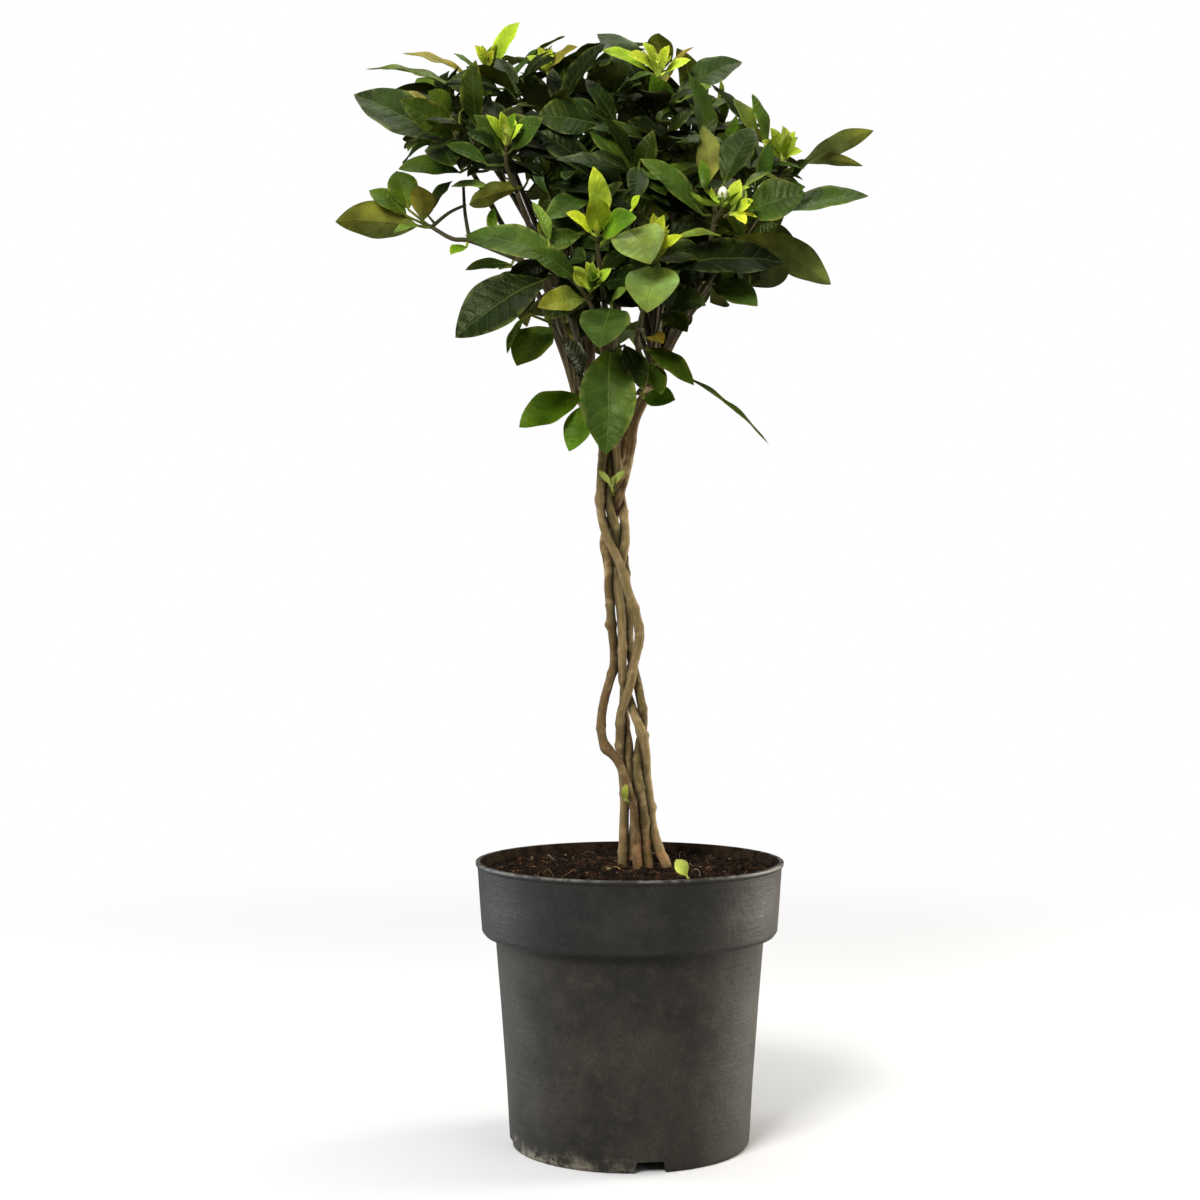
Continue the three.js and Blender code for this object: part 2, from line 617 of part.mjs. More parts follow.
// Young leaves at the shoot ends: the shoot they stand on, where they start, and their tips as seen
const YOUNG = {
  young_front_centre: {
    foot: [-20, 556, -104], onto: [-20, 562, -106],
    leaves: [
      leaf([-18.5, 565], [-22.5, 604], -14, 14, 65),
      leaf([-19.5, 562], [-23, 588], -28, 15, 72),
      leaf([-17.5, 561], [4.5, 572], -24, 17, 65),
      leaf([-22, 561], [-39.5, 575], -16, 11, 45),
    ],
  },
  young_top: {
    foot: [19, 655, -11], onto: [18.5, 661, -12],
    leaves: [
      leaf([14, 660], [-17.5, 675.5], -24, 14, 45),
      leaf([15, 663], [-1, 673], -20, 12, 50),
      leaf([18, 664], [8, 681], -8, 8, 60),
      leaf([20, 664], [25, 679], -16, 8, 60),
      leaf([22, 662], [38, 670], -10, 8, 60),
    ],
  },
  young_top_left: {
    foot: [-50, 655, 8], onto: [-50, 661, 7],
    leaves: [
      leaf([-51, 663], [-64, 672], -8, 8, 55),
      leaf([-51, 664], [-57, 678], -10, 8, 60),
      leaf([-49, 664], [-48, 677], -14, 8, 60),
    ],
  },
  young_far_top_left: {
    foot: [-87, 657, 9], onto: [-87, 663, 8.5],
    leaves: [
      leaf([-85, 665], [-68, 693.4], 0, 13, 60),
      leaf([-88, 665], [-96, 679], -10, 8, 60),
      leaf([-87, 666], [-84, 676], -14, 7, 60),
    ],
  },
  young_upper_left: {
    foot: [-76.5, 613, -64], onto: [-76.5, 618, -66],
    leaves: [
      leaf([-78, 619], [-89, 636], -8, 8, 50),
      leaf([-77, 620], [-80, 638], -6, 8, 55),
      leaf([-75, 620], [-71, 637], -8, 8, 55),
      leaf([-74, 619], [-66, 630], -10, 7, 50),
    ],
  },
  young_front_left: {
    foot: [-25.2, 522.3, -90.5], onto: [-24, 527, -96],
    leaves: [
      leaf([-25, 528], [-35, 542], -8, 8, 60),
      leaf([-24, 529], [-27, 545], -8, 8, 60),
      leaf([-23, 528], [-19, 541], -10, 8, 60),
    ],
  },
  young_front_right: {
    foot: [14, 545, -102], onto: [15.5, 551, -104],
    leaves: [
      leaf([15, 553], [14.5, 575], -10, 9, 60),
      leaf([16.5, 553], [21.5, 574], -14, 9, 60),
      leaf([17.5, 552], [29, 569], -12, 9, 60),
      leaf([18, 551], [33, 561], -16, 8, 55),
    ],
  },
  young_right_front: {
    foot: [58, 572, -97], onto: [63, 575, -99],
    leaves: [
      leaf([64.5, 577], [68.5, 596], -4, 10, 60),
      leaf([66, 575], [77, 583], -12, 8, 60),
      leaf([64, 574], [72, 568], -16, 7, 60),
    ],
  },
  young_right: {
    foot: [94, 603, -33], onto: [95, 608, -34],
    leaves: [
      leaf([93, 609], [82, 620], -14, 9, 60),
      leaf([94, 610], [87, 628], -10, 9, 60),
      leaf([95.5, 610], [95, 629], -16, 9, 60),
      leaf([97, 609], [103, 622], -10, 9, 60),
      leaf([97, 608], [107, 613], -18, 8, 50),
    ],
  },
};

// Leafy shoots of the middle, the back and the sides, placed in the round: where their leaves start
const BACK_SHOOTS = {
  shoot_mid_centre: { stem: 'stem_4', heart: [2, -30, 556] },
  shoot_mid_right: { stem: 'stem_3', heart: [40, -34, 586] },
  shoot_mid_left: { stem: 'stem_1', heart: [-42, -20, 566] },
  shoot_mid_upper: { stem: 'stem_5', heart: [6, 14, 604] },
  shoot_mid_upper_right: { stem: 'stem_5', heart: [44, 16, 606] },
  shoot_mid_upper_left: { stem: 'stem_2', heart: [-34, 8, 612] },
  shoot_back_top_right: { stem: 'stem_5', heart: [44, 60, 630] },
  shoot_back_right: { stem: 'stem_5', heart: [76, 52, 584] },
  shoot_back_low_right: { stem: 'stem_5', heart: [54, 58, 544] },
  shoot_back_far_right: { stem: 'stem_5', heart: [60, 104, 566] },
  shoot_back_low: { stem: 'stem_5', heart: [14, 84, 512] },
  shoot_back_centre: { stem: 'stem_5', heart: [22, 110, 590] },
  shoot_back_top_left: { stem: 'stem_2', heart: [-22, 62, 634] },
  shoot_back_left: { stem: 'stem_2', heart: [-72, 70, 606] },
  shoot_back_far_left: { stem: 'stem_2', heart: [-100, 44, 630] },
  shoot_back_low_left: { stem: 'stem_2', heart: [-52, 56, 540] },
  shoot_back_left_centre: { stem: 'stem_2', heart: [-40, 104, 540] },
};
const CROWN = { middle: [-12, 15, 515], back: 166 };
// The crown's outline in the front view, which the ruled leaves stay within
const CROWN_OUTLINE = [
  [-160, 646], [-120, 664], [-78, 680], [-38, 678], [-18, 683], [22, 685], [50, 672], [66, 662],
  [62, 646], [78, 634], [104, 614], [114, 592], [92, 562], [112, 546], [96, 536], [70, 519],
  [38, 510], [26, 480], [12, 466], [-24, 466], [-46, 500], [-84, 506], [-100, 530], [-60, 552],
  [-56, 598], [-102, 596], [-144, 604], [-142, 622],
];
const WHORLS = [
  { along: -5, spread: 78, length: [54, 69], width: [24, 30], count: 3 },
  { along: 6, spread: 48, length: [44, 58], width: [19, 26], count: 3 },
  { along: 11, spread: 18, length: [26, 36], width: [10, 13], count: 1 },
];
const SHOOT_REACH = [-14, 0, 12];

function backShoot(name, { stem, heart }, seed) {
  const random = draws(seed);
  const middle = vector(...heart);
  const out = middle.clone().sub(vector(...CROWN.middle)).normalize();
  const axis = SHOOT_REACH.map((reach) => middle.clone().addScaledVector(out, reach));
  const first = UP.clone().addScaledVector(out, -out.z).normalize();
  const leaves = [];
  WHORLS.forEach((whorl, tier) => {
    for (let i = 0; i < whorl.count; i += 1) {
      const turn = (360 / whorl.count) * (i + tier / 2) + (random() - 0.5) * 24;
      const spread = whorl.spread + (random() - 0.5) * 16;
      const length = mix(...whorl.length, random());
      const width = mix(...whorl.width, random());
      leaves.push({ from: middle.clone().addScaledVector(out, whorl.along), turn, spread, length, width });
    }
  });
  return { name, stem, axis, offshoots: [], out, first, leaves };
}

const RULED = { petiole: 7, droop: 0.12, arch: 0.11 };

// Poses a leaf may take, the first clear one is kept
const DEPTH_SHIFTS = [0, -6, 6, -12, 12, -19, 19, -27, 27, -36, 36];
const BASE_SHIFTS = [0, -5, 5, -10, 10];
const TURN_SHIFTS = [0, 16, -16, 32, -32, 46, -46];
const SPREAD_SHIFTS = [0, -16, 12, -30];

function nearestOn(lines, point) {
  let best = null;
  lines.forEach((line) => line.slice(1).forEach((end, i) => {
    const on = new THREE.Line3(line[i], end).closestPointToPoint(point, true, vector(0, 0, 0));
    if (!best || on.distanceTo(point) < best.distanceTo(point)) best = on;
  }));
  return best;
}

// A leaf placed by its looks: its base and tip move only to and from the eye
function seenPoses(entry, { axis, offshoots = [] }) {
  const end = axis.length - 1;
  const clipped = [...axis.slice(0, end), axis[end].clone().lerp(axis[end - 1], 0.25)];
  const inner = [clipped, ...offshoots];
  const depth = nearestOn(inner, seen([...entry.base, axis[0].y])).y;
  const poses = [];
  BASE_SHIFTS.forEach((step) => DEPTH_SHIFTS.forEach((shift) => {
    const base = seen([...entry.base, depth + step]);
    const tip = seen([...entry.tip, depth + entry.further + shift]);
    const root = nearestOn(inner, base);
    const short = Math.max(0, BLADE.leastPetiole - root.distanceTo(base));
    base.addScaledVector(tip.clone().sub(base).normalize(), short);
    const along = tip.clone().sub(base).normalize();
    poses.push({ ...entry, root, base, tip, upper: facing(along, entry.face) });
  }));
  return poses;
}

function ruledPoses(entry, shoot) {
  const poses = [];
  SPREAD_SHIFTS.forEach((tilt) => TURN_SHIFTS.forEach((turn) => {
    const around = shoot.first.clone().applyAxisAngle(shoot.out, radians(entry.turn + turn));
    const spread = radians(entry.spread + tilt);
    const along = shoot.out.clone().multiplyScalar(Math.cos(spread))
      .addScaledVector(around, Math.sin(spread))
      .addScaledVector(UP, -RULED.droop)
      .normalize();
    const base = entry.from.clone().addScaledVector(along, RULED.petiole);
    const tip = base.clone().addScaledVector(along, entry.length);
    const upper = shoot.out.clone().addScaledVector(along, -shoot.out.dot(along)).normalize();
    const half = along.clone().cross(upper).multiplyScalar(entry.width / 2);
    const middle = base.clone().lerp(tip, 0.5);
    const ends = [tip, middle.clone().add(half), middle.clone().sub(half)];
    if (ends.every(inCrown)) poses.push({ ...entry, root: entry.from, base, tip, upper, arch: RULED.arch });
  }));
  return poses;
}

// Whether a point lies within the crown's outline as the eye sees it
function inCrown({ x, y, z }) {
  const scale = EYE.distance / (EYE.distance + y);
  const across = EYE.across + (x - EYE.across) * scale;
  const up = EYE.up + (z - EYE.up) * scale;
  const crossed = CROWN_OUTLINE.filter(([endAcross, endUp], i) => {
    const [startAcross, startUp] = CROWN_OUTLINE.at(i - 1);
    const spans = startUp > up !== endUp > up;
    return spans && across < mix(startAcross, endAcross, (up - startUp) / (endUp - startUp));
  });
  return y < CROWN.back && crossed.length % 2 === 1;
}

// What is already placed, so that the next leaf keeps clear of it
const placed = [];

function boxOf(piece) {
  const { min, max } = piece.boundingBox();
  return new THREE.Box3(vector(...min), vector(...max));
}

function keep(owner, piece) {
  placed.push({ owner, piece, box: boxOf(piece) });
}

function isClear(piece, owner) {
  const box = boxOf(piece);
  return placed.every((other) => other.owner === owner || !other.box.intersectsBox(box)
    || other.piece.intersect(piece).isEmpty());
}

const LEAF_SPACE = 0.9;

// A leaf at its first clear pose, or none where it finds no room
function growLeaf(owner, poses) {
  const clear = poses.find((pose) => isClear(leafSolid(pose, LEAF_SPACE), owner));
  if (!clear) return null;
  const piece = leafSolid(clear);
  keep(owner, piece);
  return piece;
}

// Flower bud, on the end of its stalk

const BUD = { foot: [58, 581, -101], radius: 3.3, height: 8.5, facets: 8 };

function budSolid() {
  const profile = [[0, 0], [0.5, 0.08], [0.92, 0.3], [1, 0.52], [0.78, 0.8], [0.34, 0.96], [0, 1]];
  const points = profile.map(([radius, up]) => new THREE.Vector2(radius * BUD.radius, up * BUD.height));
  const bud = lathe(points, BUD.facets);
  const foot = seen(BUD.foot);
  bud.translate(foot.x, foot.y, foot.z + TWIG.thin + GAP);
  return solid(bud);
}

// Sprouts on the trunk: short arms from the bark outwards, cut back to stand just clear of it

const SPROUTS = {
  sprout_upper: [
    { from: [-9.5, 400, -4], to: [-11, 405, -11], width: 4 },
    { from: [-11, 405, -11], to: [-19.5, 415.5, -14], width: 4 },
    { from: [-11, 405, -11], to: [-3, 415.5, -15], width: 4 },
  ],
  sprout_lower: [
    { from: [0.8, 207, -5.5], to: [-2.5, 212, -12], width: 3.6 },
    { from: [-2.5, 211, -11], to: [-2, 221, -14], width: 4.5 },
  ],
};

function sproutSolid(arms) {
  const grown = arms.map(({ from, to, width }) => {
    const [start, end] = [from, to].map(seen);
    const middle = start.clone().lerp(end, 0.5);
    return sweep([start, middle, end], [width * 0.24, width * 0.3, width * 0.16], TWIG.facets);
  });
  return largest(stems.reduce((sprout, { space }) => sprout.subtract(space), union(grown)));
}

// Litter on the soil: a small blade lying on it, as low as it can without touching

const FALLEN_LEAF = { from: [34.5, -50], to: [27, -47], width: 9, arch: 0.05, rise: 12.5, face: 70 };
const DRY_CURL = { from: [-14, -14], to: [-5.5, -16], width: 4, arch: 0.16, rise: 0, face: 0 };
const LITTER = { step: 0.1, most: 40 };

function layOnSoil({ from, to, width, arch, rise, face }, soil) {
  for (let lift = 1; lift < LITTER.most; lift += 1) {
    const [start, tip] = [from, to].map(([x, y]) => vector(x, y, soilTop(x, y) + lift * LITTER.step));
    tip.z += rise;
    const base = start.clone().lerp(tip, 0.15);
    const along = tip.clone().sub(base).normalize();
    const upper = facing(along, face);
    const pose = { root: start, base, tip, upper, width, arch };
    if (soil.intersect(leafSolid(pose, GAP)).isEmpty()) return leafSolid(pose);
  }
  throw new Error('the litter finds no place on the soil');
}

// Put together

const group = new THREE.Group();
const levels = trunkLevels();
const shoots = Object.entries(FRONT_SHOOTS).map(([name, { stem, axis, offshoots = [], leaves }]) => ({
  name, stem, axis: axis.map(seen), offshoots: offshoots.map((line) => line.map(seen)), leaves,
}));
const backShoots = Object.entries(BACK_SHOOTS).map(([name, shoot], i) => backShoot(name, shoot, 11 + i));

const stems = Object.entries(STEMS).map(([name, { crotch }], index) => {
  const fork = seen(crotch);
  const { points, radii } = stemLine(index, levels, fork);
  const trunk = sweep(points, radii, STEM.facets);
  const space = sweep(points, radii.map((radius) => radius + STEM.room), STEM.facets);
  const low = points.slice(0, 3);
  const bores = [radii[0], ...radii.slice(0, 3)].map((radius) => radius + STEM.room);
  const hole = sweep([extended(low), ...low], bores, STEM.facets);
  const limbs = [...shoots, ...backShoots].filter(({ stem }) => stem === name).map(({ axis }) => {
    const onward = axis[1].clone().sub(axis[0]).normalize();
    return limbSolid(fork, axis[0].clone().addScaledVector(onward, -GAP), onward);
  });
  return { name, hole, space, piece: union([trunk, ...limbs]) };
});
stems.forEach(({ name, piece }) => keep(name, piece));

const twigs = new Map([...shoots, ...backShoots].map(({ name, axis, offshoots }) => {
  const thin = offshoots.map((line) => taper(line, TWIG.tip, TWIG.thin, TWIG.facets));
  const twig = union([taper(axis, TWIG.foot, TWIG.tip, TWIG.facets), ...thin]);
  keep(name, twig);
  return [name, twig];
}));
const tufts = Object.entries(YOUNG).map(([name, { foot, onto, leaves }]) => {
  const [start, end] = [foot, onto].map(seen);
  const onward = end.clone().sub(start).normalize();
  const axis = [start.addScaledVector(onward, GAP), end];
  const twig = taper(axis, TWIG.tip, TWIG.tip * 0.8, TWIG.facets);
  keep(name, twig);
  return { name, axis, twig, leaves };
});

tufts.forEach((tuft) => {
  const grown = tuft.leaves.map((entry) => growLeaf(tuft.name, seenPoses(entry, tuft))).filter(Boolean);
  group.add(meshOf(tuft.name, union([tuft.twig, ...grown]), COLOUR.young, 0.5));
});
shoots.forEach((shoot) => {
  const grown = shoot.leaves.map((entry) => growLeaf(shoot.name, seenPoses(entry, shoot))).filter(Boolean);
  group.add(meshOf(shoot.name, union([twigs.get(shoot.name), ...grown]), COLOUR.leaf, 0.45));
});
backShoots.forEach((shoot) => {
  const grown = shoot.leaves.map((entry) => growLeaf(shoot.name, ruledPoses(entry, shoot))).filter(Boolean);
  group.add(meshOf(shoot.name, union([twigs.get(shoot.name), ...grown]), COLOUR.leaf, 0.45));
});

stems.forEach(({ name, piece }) => group.add(meshOf(name, piece, COLOUR.bark, 0.85)));
const soil = stems.reduce((plug, { hole }) => plug.subtract(hole), soilSolid());
group.add(meshOf('nursery_pot', potSolid(), COLOUR.pot, 0.6));
group.add(meshOf('potting_soil', soil, COLOUR.soil, 0.95));
group.add(meshOf('white_bud', budSolid(), COLOUR.bud, 0.5));
Object.entries(SPROUTS).forEach(([name, arms]) => {
  group.add(meshOf(name, sproutSolid(arms), COLOUR.sprout, 0.5));
});
group.add(meshOf('fallen_leaf', layOnSoil(FALLEN_LEAF, soil), COLOUR.fallen, 0.6));
group.add(meshOf('dry_curl', layOnSoil(DRY_CURL, soil), COLOUR.dry, 0.8));
export default group;
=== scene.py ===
"""Potted gardenia standard: fine leaves, bark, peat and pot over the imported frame.

The plant's places are read off a front view drawn at the pot's axis, in millimetres, just as its
solids are. Each leaf, stem and shoot follows its own solid's curve with finer faces. Every piece
is made in metres with +Z up and the plant's front towards -Y.
"""

from __future__ import annotations

import logging
import math
import random
from collections.abc import Callable, Iterable, Sequence
from dataclasses import dataclass, field
from enum import Enum
from itertools import product
from typing import TypeVar

import bmesh
import bpy
from mathutils import Matrix, Quaternion, Vector, noise
from mathutils.bvhtree import BVHTree
from mathutils.kdtree import KDTree


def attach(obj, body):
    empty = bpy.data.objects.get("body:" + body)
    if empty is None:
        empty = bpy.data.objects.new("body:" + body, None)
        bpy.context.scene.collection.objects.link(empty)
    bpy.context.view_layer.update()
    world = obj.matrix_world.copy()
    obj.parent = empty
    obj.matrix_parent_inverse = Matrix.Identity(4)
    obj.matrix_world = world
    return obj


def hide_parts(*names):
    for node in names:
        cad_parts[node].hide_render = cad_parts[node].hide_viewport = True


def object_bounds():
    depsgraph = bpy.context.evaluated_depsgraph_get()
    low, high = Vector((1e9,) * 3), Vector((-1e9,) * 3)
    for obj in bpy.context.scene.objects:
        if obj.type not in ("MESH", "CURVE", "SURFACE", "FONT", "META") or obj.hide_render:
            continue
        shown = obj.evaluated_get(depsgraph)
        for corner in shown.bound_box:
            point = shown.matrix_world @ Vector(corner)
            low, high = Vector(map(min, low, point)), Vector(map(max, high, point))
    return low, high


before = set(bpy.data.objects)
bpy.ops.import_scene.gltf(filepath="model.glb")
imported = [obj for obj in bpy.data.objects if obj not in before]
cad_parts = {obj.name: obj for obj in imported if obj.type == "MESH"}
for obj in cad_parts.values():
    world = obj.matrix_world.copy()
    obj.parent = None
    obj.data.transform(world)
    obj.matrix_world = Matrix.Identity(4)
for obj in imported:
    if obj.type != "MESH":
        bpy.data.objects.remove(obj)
CAD_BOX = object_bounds()

log = logging.getLogger("gardenia")

Spot = tuple[float, float, float]
Flat = tuple[float, float]
Colour = tuple[int, int, int]
Palette = tuple[Colour, ...]
Number = TypeVar("Number", float, Vector)
Socket = bpy.types.NodeSocket
Material = bpy.types.Material

MM = 0.001
UP = Vector((0, 0, 1))
TO_EYE = Vector((0, -1, 0))
# Radians: about a whole turn, for a random start, and the turn from one small leaf to the next
FULL_TURN = 6.28
GOLDEN_TURN = 2.4
TURN_PLAY = (-0.3, 0.3)
TWIG_COLOUR = (66, 64, 38)
# Metres: points of one mesh that are nearer to each other than this become one
WELD = 2e-6


class Tone(Enum):
    """A leaf's colour on its upper side and on its underside, as screen colours from 0 to 255."""

    DEEP = ((20, 30, 11), (62, 72, 34))
    DARK = ((34, 50, 17), (82, 94, 42))
    MID = ((56, 80, 25), (98, 110, 50))
    SHEEN = ((116, 146, 76), (112, 128, 68))
    OLIVE = ((82, 96, 34), (106, 112, 52))
    LIGHT = ((96, 124, 48), (124, 142, 66))
    PALE = ((150, 166, 84), (150, 164, 92))
    BRIGHT = ((88, 130, 28), (126, 150, 54))
    OCHRE = ((128, 120, 44), (140, 128, 60))
    LIME = ((140, 172, 42), (168, 194, 66))
    YOUNG = ((170, 194, 56), (194, 210, 92))
    FALLEN = ((168, 194, 96), (170, 190, 104))
    DRY = ((146, 148, 118), (136, 134, 106))

    def linear(self, side: int) -> tuple[float, float, float]:
        """The colour of side 0, the upper one, or side 1 as linear light."""
        return screen(self.value[side])


def screen(colour: Iterable[float]) -> tuple[float, float, float]:
    """A screen colour from 0 to 255 as linear light."""
    return tuple(((c / 255 + 0.055) / 1.055) ** 2.4 if c > 10 else c / 255 / 12.92 for c in colour)


def mix(a: float, b: float, share: float) -> float:
    """The value at a share of the way from a to b."""
    return a + (b - a) * share


def clamp(value: float) -> float:
    """A value held between 0 and 1."""
    return min(max(value, 0.0), 1.0)


def smooth(low: float, high: float, value: float) -> float:
    """0 below low, 1 above high and an even curve between them."""
    share = clamp((value - low) / (high - low))
    return share * share * (3 - 2 * share)


# Placement, repeated from the solids


@dataclass(frozen=True)
class Eye:
    """The point that the front view is seen from, in millimetres."""

    across: float = -18.3
    up: float = 335
    distance: float = 1240

    def seen(self, spot: Spot) -> Vector:
        """Turns a place in the front view into a point in space.

        Args:
            spot: across, up and the depth behind the pot's axis.

        Returns:
            The point, in millimetres.
        """
        across, up, depth = spot
        scale = 1 + depth / self.distance
        return Vector((
            self.across + (across - self.across) * scale,
            depth,
            self.up + (up - self.up) * scale,
        ))

    def line(self, spots: Iterable[Spot]) -> list[Vector]:
        """The places in space of several places in the front view."""
        return [self.seen(spot) for spot in spots]

    def shown(self, point: Vector) -> Flat:
        """Where a point in space shows in the front view, across and up."""
        scale = self.distance / (self.distance + point.y)
        return self.across + (point.x - self.across) * scale, self.up + (point.z - self.up) * scale


EYE = Eye()


@dataclass(frozen=True)
class Leaf:
    """A leaf as it looks from the front.

    base and tip are its ends in the front view, further is how much deeper the tip lies, width is
    the blade's, and face is the turn of its upper side towards the eye, in degrees.
    """

    base: Flat
    tip: Flat
    further: float
    width: float
    face: float
    tone: Tone
    arch: float = 0.09
    twist: float = 0
    wave: float = 0


@dataclass(frozen=True)
class Shoot:
    """A shoot's axis, its side twigs and its leaves, as across, up and depth in the front view."""

    axis: tuple[Spot, ...]
    leaves: tuple[Leaf, ...]
    stem: str = ""
    offshoots: tuple[tuple[Spot, ...], ...] = ()


@dataclass(frozen=True)
class Stem:
    """A stem's course down the trunk, as up, across and depth, and its crotch in the front view."""

    course: tuple[Spot, ...]
    crotch: Spot


@dataclass(frozen=True)
class Pose:
    """A leaf as it stands in space, in millimetres."""

    root: Vector
    base: Vector
    tip: Vector
    upper: Vector
    width: float
    tone: Tone
    arch: float = 0.09
    twist: float = 0
    wave: float = 0
    # Painted shade on the underside; 1 where there is none
    painted_underside_shade: float = 1


